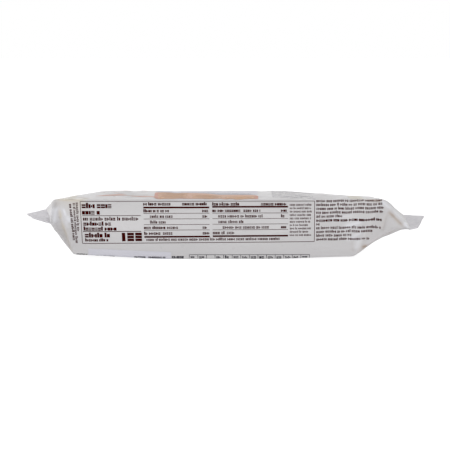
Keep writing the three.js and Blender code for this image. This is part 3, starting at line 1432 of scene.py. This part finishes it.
@dataclass(frozen=True)
class Row:
    """One row of the table: the line under it, where its marks start and stop, and its figure."""

    line: float
    start: float
    stop: float
    has_figure: bool


@dataclass(frozen=True)
class Column:
    """One ruled column of the table: its sides, its head, its two thick bars and its rows."""

    left: float
    right: float
    head: float
    bar: float
    foot: float
    rows: tuple[Row, ...]


COLUMNS = (
    Column(
        44.0,
        90.2,
        head=0.6,
        bar=4.35,
        foot=24.95,
        rows=(
            Row(8.4, 0.0, 18.6, True),
            Row(12.3, 4.0, 21.5, True),
            Row(16.3, 4.0, 16.5, False),
            Row(20.2, 0.0, 25.5, True),
            Row(24.2, 0.0, 20.6, True),
        ),
    ),
    Column(
        92.3,
        145.4,
        head=0.75,
        bar=3.95,
        foot=24.75,
        rows=(
            Row(8.35, 0.0, 34.5, True),
            Row(12.25, 3.6, 36.0, True),
            Row(16.2, 3.6, 22.4, False),
            Row(20.2, 6.6, 41.0, True),
            Row(24.1, 0.0, 15.4, False),
        ),
    ),
)


@dataclass
class PrintedSide:
    """The long side that faces out: a ruled table of small print, side notes and a coded row."""

    tube: FilmTube
    dark: PrintedInk
    black: PrintedInk
    seed: int = 21
    table: Block = Block((-101.7, 40.3), (62.3, 40.5), (-100.0, 11.1), (62.0, 12.4), 164.0, 29.3)
    notes: Block = Block(
        (62.8, 41.7), (111.0, 42.5), (62.8, 11.7), (111.0, 12.4), 48.2, 30.0, wave=0.2
    )
    foot: Block = Block((-104.2, 4.3), (-96.4, 3.9), (-104.2, 3.0), (-96.4, 2.6), 7.8, 1.3)
    row: Block = Block((-38.0, 3.1), (58.7, 3.2), (-38.0, 0.0), (58.7, 0.1), 96.7, 3.1)
    hairline: float = 0.35
    bar_half: float = 0.6

    def build(self) -> list[bpy.types.Object]:
        """Builds the side's print and returns its pieces."""
        rng = np.random.default_rng(self.seed)
        ink = Sheet("near_print_brown", self.dark, self.tube, Panel.NEAR)
        table = self.table
        for down, weight in ((0.0, self.hairline), (table.height, 0.4)):
            table.rule(ink, 0.0, table.width, down, weight)
        for across in (0.0, table.width):
            table.post(ink, across, 0.0, table.height, self.hairline)
        self.first_column(ink, rng)
        self.row_columns(ink, rng)
        for k in range(10):
            top = 1.7 + 2.42 * k
            table.words(ink, 146.6, 162.8 - rng.uniform(0, 2.5), top, top + 1.6, Weight.FINE, rng)
        self.side_notes(ink, rng)
        self.turned_columns(ink, rng)
        code = Sheet("near_print_code", self.black, self.tube, Panel.NEAR, clearance=0.07)
        self.coded_row(code, rng)
        return [ink.finish_piece(), code.finish_piece()]

    def first_column(self, ink: Sheet, rng: np.random.Generator) -> None:
        """Prints the table's bold headings and its big figures.

        Args:
            ink: The print run.
            rng: Picks the marks.
        """
        table = self.table
        lines = (
            (0.9, 23.6, 1.0, 4.7, Weight.HEAVY),
            (0.9, 15.4, 5.7, 9.1, Weight.HEAVY),
            (1.4, 41.2, 10.6, 13.3, Weight.BOOK),
            (1.4, 22.4, 13.9, 16.8, Weight.HEAVY),
            (1.4, 25.9, 17.4, 20.3, Weight.HEAVY),
            (2.1, 20.3, 21.7, 25.1, Weight.HEAVY),
            (2.1, 18.9, 25.7, 27.9, Weight.BOLD),
        )
        for left, right, top, bottom, weight in lines:
            table.words(ink, left, right, top, bottom, weight, rng)
        table.rule(ink, 0.9, 42.0, 9.9, self.hairline)
        table.rule(ink, 0.9, 42.0, 20.95, 0.45)
        # Each big figure is one upright bar, or three level ones
        table.bar(ink, 28.2, 30.6, 21.9, 27.9)
        for left in (32.0, 37.6):
            for top, bottom in ((21.9, 23.7), (24.0, 25.8), (26.1, 27.9)):
                table.bar(ink, left, left + 4.7, top, bottom)

    def row_columns(self, ink: Sheet, rng: np.random.Generator) -> None:
        """Prints the table's two ruled columns of rows, with their thick bars.

        Args:
            ink: The print run.
            rng: Picks the marks.
        """
        table = self.table
        for column in COLUMNS:
            left, right, head = column.left, column.right, column.head
            table.words(ink, left, left + 20.3, head, head + 2.3, Weight.BOLD, rng)
            table.words(ink, right - 19.0, right, head, head + 2.3, Weight.BOLD, rng)
            for level in (column.bar, column.foot):
                table.bar(ink, left, right, level - self.bar_half, level + self.bar_half)
            for row in column.rows:
                top, bottom = row.line - 2.95, row.line - 0.75
                # A row that isn't indented starts with a bold name
                bold = row.start == 0.0
                split = left + row.start + (row.stop - row.start) * (0.62 if bold else 0.0)
                if bold:
                    table.words(ink, left, split, top, bottom, Weight.BOLD, rng)
                table.words(ink, split + 0.4, left + row.stop, top, bottom, Weight.BOOK, rng)
                if row.has_figure:
                    table.words(ink, right - 5.0, right - 0.3, top, bottom, Weight.BOLD, rng)
                if row is not column.rows[-1]:
                    table.rule(ink, left, right, row.line, 0.3)
        table.words(ink, 45.4, 141.0, 25.8, 27.8, Weight.BOOK, rng)

    def side_notes(self, ink: Sheet, rng: np.random.Generator) -> None:
        """Prints the lines beyond the table.

        Args:
            ink: The print run.
            rng: Picks the marks.
        """
        stops = (48.2, 48.0, 48.2, 48.0, 19.5, 47.5, 4.0, 46.0, 41.6, 26.0, 38.8)
        heading = 5
        for k, stop in enumerate(stops):
            top = 0.1 + 2.66 * k
            weight, tall = (Weight.HEAVY, 2.15) if k == heading else (Weight.BOOK, 1.95)
            self.notes.words(ink, 0.6, stop, top, top + tall, weight, rng)

    def turned_columns(self, ink: Sheet, rng: np.random.Generator) -> None:
        """Prints the columns at the left end, whose lines are turned up.

        Args:
            ink: The print run.
            rng: Picks the marks.
        """
        wide = 1.5
        for foot, head, weight in (
            ((-104.6, 11.8), (-107.6, 38.6), Weight.BOOK),
            ((-102.8, 10.6), (-105.0, 39.2), Weight.FINE),
            ((-101.7, 18.8), (-102.9, 39.6), Weight.FINE),
        ):
            foot, head = np.array(foot), np.array(head)
            length = float(np.linalg.norm(head - foot))
            along = (head - foot) / length
            side = np.array([along[1], -along[0]]) * wide
            corners = (tuple(place) for place in (head, foot, head - side, foot - side))
            Block(*corners, length, wide).words(ink, 0.0, length, 0.0, 1.9, weight, rng)

    def coded_row(self, code: Sheet, rng: np.random.Generator) -> None:
        """Prints the boxed row of marks along the foot of the side.

        Args:
            code: The print run.
            rng: Picks the marks.
        """
        self.foot.words(code, 0.0, self.foot.width, 0.0, self.foot.height, Weight.BOLD, rng)
        row, first = self.row, 12.6
        row.words(code, 0.4, 9.0, 0.2, 2.9, Weight.HEAVY, rng)
        row.rule(code, first, row.width, 0.0, self.hairline)
        for across in np.linspace(first, row.width, 15).tolist():
            row.post(code, across, 0.0, 3.0, self.hairline)
            if across < row.width and rng.random() < 0.85:
                row.words(code, across + 0.9, across + 5.4, 0.5, 2.9, Weight.HEAVY, rng)


@dataclass
class FarSide:
    """The long side that faces away, with two blocks of small print and a ruled box."""

    tube: FilmTube
    dark: PrintedInk
    seed: int = 33

    def build(self) -> list[bpy.types.Object]:
        """Builds the side's print and returns its piece."""
        rng = np.random.default_rng(self.seed)
        ink = Sheet("far_print_brown", self.dark, self.tube, Panel.FAR)
        # Seen from behind, the pack's left is at +X
        blocks = (
            Block((88.0, 37.0), (22.0, 37.5), (88.0, 12.0), (22.0, 12.0), 66.0, 25.0),
            Block((14.0, 37.5), (-48.0, 37.5), (14.0, 12.0), (-48.0, 12.0), 62.0, 25.5),
        )
        lines = 8
        for block in blocks:
            block.words(ink, 0.0, block.width * 0.4, 0.0, 2.6, Weight.HEAVY, rng)
            for k in range(lines):
                top = 4.2 + 2.7 * k
                stop = block.width * (0.55 if k == lines - 1 else rng.uniform(0.9, 1.0))
                block.words(ink, 0.0, stop, top, top + 1.9, Weight.BOOK, rng)
        box = Block((-56.0, 37.5), (-98.0, 36.5), (-56.0, 12.0), (-98.0, 12.0), 42.0, 25.0)
        rows, high, weight = 4, 6.2, 0.4
        for down in (*(high * k for k in range(rows)), box.height):
            box.rule(ink, 0.0, box.width, down, weight)
        for across in (0.0, box.width):
            box.post(ink, across, 0.0, box.height, weight)
        for k in range(rows):
            top = 1.8 + high * k
            box.words(ink, 2.0, 26.0, top, top + 2.6, Weight.BOLD, rng)
            box.words(ink, 33.0, 40.0, top, top + 2.6, Weight.BOLD, rng)
        return [ink.finish_piece()]


@dataclass(frozen=True)
class Ribbon:
    """One ribbon on the top: its ends and its level, the phase of its wave and half its width."""

    start: float
    stop: float
    level: float
    wave: float
    half: float


RIBBONS = (
    Ribbon(-82.0, -55.0, -15.0, 1.6, 1.1),
    Ribbon(-90.0, -56.0, 0.0, 2.2, 1.7),
    Ribbon(-84.0, -54.0, 13.0, 3.4, 1.2),
    Ribbon(-88.0, -55.0, 27.0, 4.6, 1.5),
    Ribbon(-92.0, -38.0, -28.0, 0.6, 5.4),
)
FULL_TURN = 2.0 * math.pi
# The inner scale of a patch that is filled to its middle
TO_MIDDLE = 0.002


@dataclass
class TopPrint:
    """The top's plain design: a tan field of biscuits, a bare plate, ribbons and small print.

    `field_corners` and `plate_corners` run anticlockwise from the near left one. The edge between
    the field and the plate runs askew.
    """

    tube: FilmTube
    ring: PrintedInk
    core: PrintedInk
    golden: PrintedInk
    baked: PrintedInk
    ribbon: PrintedInk
    pale: PrintedInk
    plate: PrintedInk
    grey: PrintedInk
    field_corners: tuple = ((-50.3, -40.7), (23.0, -40.7), (23.0, -23.0), (-50.3, -0.3))
    plate_corners: tuple = ((-50.3, 2.2), (23.0, -20.6), (23.0, 38.6), (-50.3, 38.6))
    squareness: float = 9.0
    biscuit_length: float = 21.0
    biscuit_width: float = 8.2
    biscuit_squareness: float = 3.4
    biscuit_layers: int = 5
    layer_reach: float = 0.84
    layer_wave: float = 0.32
    layer_half: float = 0.26
    ribbon_rise: float = 5.0
    seed: int = 47

    def rounded(self, angle: np.ndarray, half: tuple[float, float], power: float) -> np.ndarray:
        """Finds points round a rounded rectangle.

        Args:
            angle: Where they lie round it, in radians.
            half: Half its length and half its width.
            power: How sharp its corners are, from 2 for an ellipse.

        Returns:
            One point an angle.
        """
        c, s = np.cos(angle), np.sin(angle)
        reach = np.abs(c / half[0]) ** power + np.abs(s / half[1]) ** power
        return np.stack([c, s], -1) * (reach ** (-1.0 / power))[..., None]

    def band(self, sheet: Sheet, corners: tuple, inner: float, outer: float) -> None:
        """Prints what lies between two scales of an outline with rounded corners.

        Args:
            sheet: The print run.
            corners: The outline's four corners.
            inner: The scale of the band's inner edge.
            outer: The scale of its outer edge, 1 for the outline itself.
        """
        a, b, c, d = (np.array(corner) for corner in corners)
        steps = max(2, math.ceil((outer - inner) * np.linalg.norm(b - a) / 2 / sheet.grain) + 1)
        edge = self.rounded(np.linspace(0.0, FULL_TURN, 241), (1.0, 1.0), self.squareness)
        share = (1.0 + edge * np.linspace(inner, outer, steps)[:, None, None]) / 2
        along, across = share[..., :1], share[..., 1:]
        sheet.add_grid(mix(mix(a, b, along), mix(d, c, along), across))

    def biscuit(
        self, golden: Sheet, baked: Sheet, middle: tuple[float, float], turn: float
    ) -> None:
        """Prints one oblong biscuit, with a darker rim and the lines of its baked layers.

        Args:
            golden: The run for its body.
            baked: The run for its rim and its layers.
            middle: Where it lies on the top.
            turn: How far it is turned, in radians.
        """
        half = self.biscuit_length / 2, self.biscuit_width / 2
        spin = np.array([[math.cos(turn), math.sin(turn)], [-math.sin(turn), math.cos(turn)]])
        edge = self.rounded(np.linspace(0.0, FULL_TURN, 97), half, self.biscuit_squareness)
        for sheet, inner, outer, steps in ((golden, TO_MIDDLE, 0.93, 9), (baked, 0.91, 1.0, 2)):
            scales = np.linspace(inner, outer, steps)[:, None, None]
            sheet.add_grid(np.array(middle) + (edge * scales) @ spin)
        places = 40
        for k in range(self.biscuit_layers):
            level = (k + 1) / (self.biscuit_layers + 1) * 2 - 1
            # The outer layers are shorter, as the biscuit's corners are round
            along = np.linspace(-self.layer_reach, self.layer_reach, places)
            along = along * half[0] * (1 - 0.14 * level * level)
            wave = self.layer_wave * np.sin(along * 0.8 + 2.1 * k + middle[0])
            line = level * half[1] * self.layer_reach + wave
            thick = self.layer_half * np.sqrt(arch(np.linspace(0.02, 0.98, places)))
            edges = [np.stack([along, line + thick * side], -1) for side in (-1, 1)]
            baked.add_grid(np.array(middle) + np.stack(edges, 1) @ spin)

    def sweep(self, sheet: Sheet, ribbon: Ribbon) -> None:
        """Prints one ribbon that swells and thins along the pack.

        Args:
            sheet: The print run.
            ribbon: Where it runs and how wide it is.
        """
        share = np.linspace(0.0, 1.0, 70)
        along = mix(ribbon.start, ribbon.stop, share)
        middle = ribbon.level + self.ribbon_rise * np.sin(share * 4.4 + ribbon.wave)
        swell = 0.65 + 0.35 * np.sin(share * 9.0 + ribbon.wave)
        width = ribbon.half * np.sqrt(arch(share)) * swell + 0.04
        lines = [np.stack([along, middle + width * k], -1) for k in np.linspace(-1, 1, 5)]
        sheet.add_grid(np.stack(lines, 1))

    def small_print(self, sheet: Sheet, rng: np.random.Generator) -> None:
        """Prints the lines at the right of the field and the two slanting ones in the plate.

        Args:
            sheet: The print run.
            rng: Picks the marks.
        """
        lines = Block((33.0, 36.0), (68.0, 36.0), (33.0, -38.0), (68.0, -38.0), 35.0, 74.0)
        lines.words(sheet, 0.0, 27.0, 0.0, 5.0, Weight.BOLD, rng)
        for k in range(9):
            top = 9.0 + 7.2 * k
            # Every fifth line ends a paragraph
            stop = lines.width - rng.uniform(0, 6) if k % 5 != 4 else 17.0
            lines.words(sheet, 0.0, stop, top, top + 2.5, Weight.BOOK, rng)
        beside = Block((-16.0, -1.6), (19.0, -12.5), (-16.0, -7.6), (19.0, -18.5), 36.6, 6.0)
        for top in (0.0, 3.4):
            beside.words(sheet, 0.0, 36.0, top, top + 2.0, Weight.FINE, rng)

    def build(self) -> list[bpy.types.Object]:
        """Builds the top's print and returns its pieces."""
        rng = np.random.default_rng(self.seed)
        runs = {
            "ring": (self.ring, 0.1),
            "core": (self.core, 0.1),
            "golden": (self.golden, 0.13),
            "baked": (self.baked, 0.17),
            "ribbons": (self.ribbon, 0.07),
            "pale": (self.pale, 0.08),
            "plate": (self.plate, 0.08),
            "small": (self.grey, 0.12),
        }
        sheets = {
            name: Sheet(f"top_print_{name}", ink, self.tube, Panel.TOP, clearance=clearance)
            for name, (ink, clearance) in runs.items()
        }
        self.band(sheets["ring"], self.field_corners, 0.93, 1.0)
        self.band(sheets["core"], self.field_corners, TO_MIDDLE, 0.932)
        self.band(sheets["plate"], self.plate_corners, TO_MIDDLE, 1.0)
        # The biscuits fan out as the field does
        for x, y, turn in (
            (-36.0, -33.4, 0.0),
            (-12.6, -33.4, 0.0),
            (10.6, -33.6, 0.0),
            (-37.0, -23.0, -0.12),
            (-13.4, -23.4, -0.16),
            (-37.0, -12.4, -0.27),
        ):
            middle = (x + rng.uniform(-0.6, 0.6), y + rng.uniform(-0.3, 0.3))
            self.biscuit(sheets["golden"], sheets["baked"], middle, turn + rng.uniform(-0.04, 0.04))
        for ribbon in RIBBONS:
            self.sweep(sheets["ribbons"], ribbon)
        self.small_print(sheets["small"], rng)
        for left, right in ((88.0, 97.0), (-111.0, -106.0)):
            near, far = -41.0, 40.5
            sheets["pale"].add_quad((left, near), (right, near), (right, far), (left, far))
        return [sheet.finish_piece() for sheet in sheets.values()]


@dataclass
class StuckLabel:
    """The plain label on the foot of the near side, which turns under the long edge of the pack.

    Its top edge stands at the heights `top_left` and `top_right`, and it goes `turned_under` beyond
    the pack's edge. It has `steps_along` by `steps_up` points.
    """

    tube: FilmTube
    finish: LabelPaper
    ink: PrintedInk
    left: float = -96.0
    right: float = -38.0
    top_left: float = 7.6
    top_right: float = 5.0
    turned_under: float = 7.5
    clearance: float = 0.12
    steps_along: int = 76
    steps_up: int = 18
    columns_under: int = 12
    seed: int = 9

    def lay(self) -> np.ndarray:
        """Cuts the label out of the film's net, and returns its points by row and column."""
        tube = self.tube
        body = np.flatnonzero(tube.row_out == 0.0)
        near = np.flatnonzero(tube.on(Panel.NEAR) & (tube.layer < 0))
        under = np.flatnonzero(tube.on(Panel.BOTTOM))[-self.columns_under :]
        net = tube.net[body][:, np.concatenate([under, near])]
        foot = len(under) - 1
        lines = []
        for x in np.linspace(self.left, self.right, self.steps_along):
            columns = net.swapaxes(0, 1)
            strip = np.concatenate([sample(column, column[:, 0], [x]) for column in columns])
            length = line_length(strip)
            edge = mix(self.top_left, self.top_right, (x - self.left) / (self.right - self.left))
            top = np.interp(edge, strip[foot:, 2], length[foot:])
            start = length[foot] - self.turned_under
            lines.append(sample(strip, length, np.linspace(max(start, 0.2), top, self.steps_up)))
        return np.array(lines)

    def build(self) -> list[bpy.types.Object]:
        """Builds the label and the marks on it, and returns both pieces."""
        sheet = self.lay()
        normal = unit(np.cross(np.gradient(sheet, axis=0), np.gradient(sheet, axis=1)))
        sheet = sheet + normal * self.clearance
        sheet[..., 2] = np.maximum(sheet[..., 2], 0.0)
        faces = grid_faces(*sheet.shape[:2])
        points = sheet.reshape(-1, 3)
        label = make_piece("side_label", points, faces, self.finish.material())
        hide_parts("stuck_label")
        marks = Sheet("side_label_marks", self.ink, self.tube, Panel.NEAR, clearance=0.2)
        rng = np.random.default_rng(self.seed)
        row = Block((-92.0, 3.4), (-40.0, 2.4), (-92.0, 0.9), (-40.0, 0.6), 52.0, 2.2)
        for start, stop in ((1.0, 15.0), (28.0, 36.5), (38.0, 50.0)):
            row.words(marks, start, stop, 0.4, 2.1, Weight.BOLD, rng)
        return [label, marks.finish_piece()]


# ---------------------------------------------------------------------------------------------
# The studio
# ---------------------------------------------------------------------------------------------


@dataclass(frozen=True)
class SoftBox:
    """A square soft light: where it hangs and how wide it is, in metres, and its power in watts."""

    name: str
    place: tuple[float, float, float]
    size: float
    power: float


@dataclass
class Studio:
    """A white paper floor, soft light and the camera, a little above the pack and far from it.

    Lengths are in metres. The walls are as bright as `horizon_strength` up to the first share of
    `ceiling`, and dim to `ceiling_strength` at the second.
    """

    camera_distance: float = 1.8
    camera_height: float = 0.167
    camera_tilt: float = 4.66
    camera_x: float = -0.0004
    lens: float = 201.6
    sensor: float = 36.0
    sight: float = 60.0
    horizon_strength: float = 1.0
    ceiling_strength: float = 0.62
    ceiling: tuple[float, float] = (0.12, 0.45)
    floor_half: float = 9.0
    floor_steps: int = 13
    paper_height: float = -0.0003
    card_height: float = -0.0005
    floor: PaperSweep = PaperSweep()
    card: PaperSweep = PaperSweep("bounce_card_white", "#ecedee", "#f0f0f0", glow=0.2)
    aim: tuple[float, float, float] = (0.0, 0.0, 0.02)
    lights: tuple[SoftBox, ...] = (
        SoftBox("front_soft", (-0.3, -1.9, 0.3), 1.2, 6.0),
        SoftBox("back_left", (-1.2, 0.6, 0.5), 0.7, 4.0),
        SoftBox("back_top", (0.0, 0.8, 1.3), 0.8, 2.5),
        SoftBox("front_top", (0.2, -0.7, 1.5), 0.6, 1.5),
    )

    def build(self) -> None:
        """Builds the floor, the lights and the camera."""
        self.lay_floor()
        for box in self.lights:
            self.hang_light(box)
        self.light_world()
        self.stand_camera()

    def lay_floor(self) -> None:
        """Lays the white paper that the camera sees, and under it the card that bounces light."""
        paper = self.lay_sheet("paper_floor", self.paper_height, self.floor.material())
        paper.visible_diffuse = False
        paper.visible_glossy = False
        card = self.lay_sheet("bounce_card", self.card_height, self.card.material())
        card.visible_camera = False

    def lay_sheet(
        self, name: str, height: float, material: bpy.types.Material
    ) -> bpy.types.Object:
        """Lays one level sheet.

        Args:
            name: The sheet's name.
            height: Its height in metres.
            material: Its finish.

        Returns:
            The sheet.
        """
        mesh = bpy.data.meshes.new(name)
        count = self.floor_steps
        steps = np.linspace(-self.floor_half, self.floor_half, count)
        level = np.full((count, count), height)
        points = np.stack([*np.meshgrid(steps, steps, indexing="ij"), level], -1)
        mesh.from_pydata(points.reshape(-1, 3).tolist(), [], grid_faces(count, count))
        mesh.materials.append(material)
        sheet = bpy.data.objects.new(name, mesh)
        bpy.context.scene.collection.objects.link(sheet)
        return sheet

    def hang_light(self, box: SoftBox) -> None:
        """Hangs one soft light, turned towards the pack.

        Args:
            box: The light.
        """
        data = bpy.data.lights.new(box.name, "AREA")
        data.size = box.size
        data.energy = box.power
        light = bpy.data.objects.new(box.name, data)
        light.location = box.place
        light.rotation_mode = "QUATERNION"
        ahead = Vector(self.aim) - Vector(box.place)
        light.rotation_quaternion = ahead.to_track_quat("-Z", "Y")
        bpy.context.scene.collection.objects.link(light)

    def light_world(self) -> None:
        """Surrounds the scene with white walls under a dimmer ceiling."""
        world = bpy.data.worlds.new("studio_white")
        world.use_nodes = True
        tree = world.node_tree
        ahead = add_node(tree, "ShaderNodeTexCoord").outputs["Generated"]
        height = add_node(tree, "ShaderNodeSeparateXYZ", links={"Vector": ahead}).outputs["Z"]
        low, high = self.ceiling
        strength = add_node(
            tree,
            "ShaderNodeMapRange",
            {
                "interpolation_type": "SMOOTHSTEP",
                "From Min": low,
                "From Max": high,
                "To Min": self.horizon_strength,
                "To Max": self.ceiling_strength,
            },
            {"Value": height},
        ).outputs["Result"]
        background = tree.nodes["Background"]
        background.inputs["Color"].default_value = linear("#ffffff")
        tree.links.new(strength, background.inputs["Strength"])
        bpy.context.scene.world = world
        bpy.context.scene.view_settings.view_transform = "Standard"

    def stand_camera(self) -> None:
        """Stands the camera in front of the printed side."""
        data = bpy.data.cameras.new("studio_camera")
        data.lens = self.lens
        data.sensor_width = self.sensor
        data.clip_end = self.sight
        camera = bpy.data.objects.new("studio_camera", data)
        camera.location = (self.camera_x, -self.camera_distance, self.camera_height)
        camera.rotation_euler = (math.radians(90.0 - self.camera_tilt), 0.0, 0.0)
        bpy.context.scene.collection.objects.link(camera)
        bpy.context.scene.camera = camera


NEAR_CREASES = (
    # Left end: the soft creases that fall from the corner towards the foot, and the ear's own
    # folds. Their tan is painted shade in the folds, and their white is painted highlight on the
    # ridges along with the film's frosting
    Crease(Panel.NEAR, (-116.6, 35.6), (-115.2, 27.5), 0.5, -0.35, bow=0.4, warmth=0.8, blush=0.1),
    Crease(Panel.NEAR, (-115.4, 28.0), (-110.8, 14.0), 0.7, -0.4, bow=0.4, warmth=0.2),
    Crease(Panel.NEAR, (-114.2, 36.0), (-112.0, 28.6), 0.45, 0.55, bow=0.4, frost=1.0),
    Crease(Panel.NEAR, (-111.4, 30.0), (-108.2, 25.5), 1.3, 0.35, frost=0.7),
    Crease(Panel.NEAR, (-112.4, 27.0), (-110.0, 21.0), 0.8, 0.3, frost=0.4),
    Crease(Panel.NEAR, (-119.6, 37.0), (-122.6, 29.5), 0.9, -0.2, bow=-0.4, frost=0.9),
    Crease(Panel.NEAR, (-118.6, 37.0), (-113.6, 24.0), 3.6, 0.0, round=1.5, frost=0.24),
    Crease(Panel.NEAR, (-117.6, 38.0), (-119.3, 25.0), 0.9, 0.2, frost=0.7),
    Crease(Panel.NEAR, (-118.2, 39.6), (-114.8, 37.6), 0.7, -0.25, blush=0.12),
    Crease(Panel.NEAR, (-118.4, 30.0), (-107.6, 9.5), 1.1, 0.3, bow=-0.4),
    Crease(Panel.NEAR, (-121.4, 26.5), (-116.5, 33.5), 0.6, -0.3),
    Crease(Panel.NEAR, (-120.4, 24.5), (-116.2, 29.0), 0.6, 0.25),
    Crease(Panel.NEAR, (-119.0, 31.0), (-114.0, 20.0), 0.9, -0.3, bow=-0.8),
    Crease(Panel.NEAR, (-118.4, 25.6), (-112.6, 21.0), 0.8, -0.25),
    Crease(Panel.NEAR, (-110.6, 37.4), (-109.4, 30.0), 0.7, -0.22),
    # Right end: the fold beside the ear and the two legs of its flat triangle. Their tan and the
    # dark line along the top edge are painted shade, and the white band beside them is painted
    # highlight
    Crease(Panel.NEAR, (111.8, 38.8), (114.4, 35.0), 0.8, -0.45, blush=0.25),
    Crease(Panel.NEAR, (113.6, 33.4), (108.4, 19.5), 0.7, -0.8, bow=-0.4, blush=0.15),
    Crease(Panel.NEAR, (110.4, 29.0), (106.4, 20.0), 1.9, 0.0, round=1.0, blush=0.05),
    Crease(Panel.NEAR, (113.4, 33.8), (124.0, 23.4), 0.6, -0.9, blush=0.68, warmth=0.25),
    Crease(Panel.NEAR, (112.8, 34.0), (117.6, 30.6), 0.8, 0.0, round=0.8, blush=0.35),
    Crease(Panel.NEAR, (114.6, 36.6), (128.4, 24.6), 1.2, -0.1, frost=0.5),
    Crease(Panel.NEAR, (108.0, 41.0), (116.0, 35.0), 1.1, 0.1, frost=0.7),
    Crease(Panel.NEAR, (123.6, 26.8), (128.6, 22.9), 0.8, 0.3, frost=1.0),
    Crease(Panel.NEAR, (99.0, 41.6), (110.5, 40.2), 0.6, -0.3, blush=0.7),
    # The right end's lower edge, which turns under, with painted shade in tan along it
    Crease(Panel.NEAR, (91.0, 4.2), (109.0, 16.8), 1.1, -0.35, blush=0.3),
    Crease(Panel.NEAR, (109.0, 16.8), (124.0, 21.6), 0.8, -0.25, blush=0.35),
    # Right foot: a dent brightened with painted highlight, and the pinch over it, darkened with
    # painted shade
    Crease(Panel.NEAR, (88.4, 14.0), (89.4, 3.0), 0.7, -0.6, blush=0.15),
    Crease(Panel.NEAR, (93.6, 15.0), (91.2, 5.4), 1.4, 0.5, round=0.8, frost=0.35),
    Crease(Panel.NEAR, (94.8, 8.4), (98.8, 9.6), 0.6, -0.6, blush=0.9),
    Crease(Panel.NEAR, (97.0, 10.6), (108.0, 15.4), 0.9, 0.45, frost=0.3),
    # The panel's own slow waves and the painted glints between the lines at its loose end
    Crease(Panel.NEAR, (66.0, 6.0), (78.0, 30.0), 6.0, -0.35, round=1.5),
    Crease(Panel.NEAR, (82.0, 22.0), (97.0, 26.5), 1.3, 0.5, round=0.5, frost=0.6),
    Crease(Panel.NEAR, (84.0, 12.0), (98.0, 20.5), 1.1, 0.5, round=0.5, frost=0.4),
    Crease(Panel.NEAR, (70.0, 27.5), (92.0, 31.5), 1.1, -0.35, frost=0.25),
    Crease(Panel.NEAR, (-84.0, 8.0), (-96.0, 20.0), 4.0, 0.4, round=1.2),
)

TOP_CREASES = (
    # The dart by the left ear, where the film folds over the biscuits' corner and turns cream, with
    # painted shade in tan along the dart
    Crease(Panel.TOP, (-118.4, -39.0), (-107.0, -12.0), 1.2, 0.5, warmth=0.8, blush=0.2),
    Crease(Panel.TOP, (-107.0, -12.0), (-94.0, -40.6), 0.8, -0.7, blush=0.7),
    Crease(Panel.TOP, (-119.5, -40.6), (-96.0, -39.4), 3.0, 0.0, round=1.0, warmth=0.75),
    Crease(Panel.TOP, (-111.0, -33.0), (-104.0, -22.0), 4.0, -0.2, round=1.0, warmth=0.4),
    Crease(Panel.TOP, (86.0, -39.0), (103.0, -37.0), 3.0, 0.0, round=1.0, warmth=0.25),
    Crease(Panel.TOP, (-100.0, 20.0), (-70.0, 8.0), 3.0, -0.6),
    Crease(Panel.TOP, (98.0, -18.0), (62.0, -6.0), 3.0, -0.6),
    Crease(Panel.TOP, (100.0, 24.0), (76.0, 16.0), 2.2, 0.5),
)


def main() -> None:
    """Builds the pack and the studio in order and reports each piece."""
    logging.basicConfig(level=logging.INFO, format="%(name)s: %(message)s")
    tube = FilmTube(creases=NEAR_CREASES + TOP_CREASES)
    pieces = [tube.build()]
    crimped = CrimpedFilm()
    pieces.append(CrimpFin("fin_left", LEFT_END, crimped, seed=4).build())
    pieces.append(CrimpFin("fin_right", RIGHT_END, crimped, seed=14).build())
    pieces.append(LapSeam(tube, crimped).build())
    brown = PrintedInk("gravure_ink_maroon_brown", "#380200", "#410604", specular=0.02)
    black = PrintedInk("coding_ink_grey_black", "#34313a", "#403d45", specular=0.2)
    pieces += PrintedSide(tube, brown, black).build()
    pieces += FarSide(tube, brown).build()
    pieces += TopPrint(
        tube,
        ring=PrintedInk("gravure_ink_peach", "#c89280", "#cf9d8c", pitch_mm=6.0),
        core=PrintedInk("gravure_ink_biscuit_tan", "#caa089", "#d4ac95", pitch_mm=9.0),
        golden=PrintedInk("gravure_ink_golden", "#e0b795", "#e7c0a0", pitch_mm=5.0),
        baked=PrintedInk("gravure_ink_baked_brown", "#c09474", "#cba282", pitch_mm=3.0),
        ribbon=PrintedInk("gravure_ink_rose_tan", "#c9a49a", "#cfb0a6", pitch_mm=4.0),
        pale=PrintedInk("gravure_ink_pale_cream", "#d5cfc3", "#d5d1c9", pitch_mm=8.0),
        plate=PrintedInk("gravure_ink_pale_lavender", "#cccad3", "#d1cfd6", pitch_mm=12.0),
        grey=PrintedInk("gravure_ink_mid_grey", "#96929a", "#a29ea6"),
    ).build()
    pieces += StuckLabel(tube, LabelPaper(), black).build()
    for piece in pieces:
        log.info("%s: %d faces", piece.name, len(piece.data.polygons))
    Studio().build()


if __name__ == "__main__":
    main()
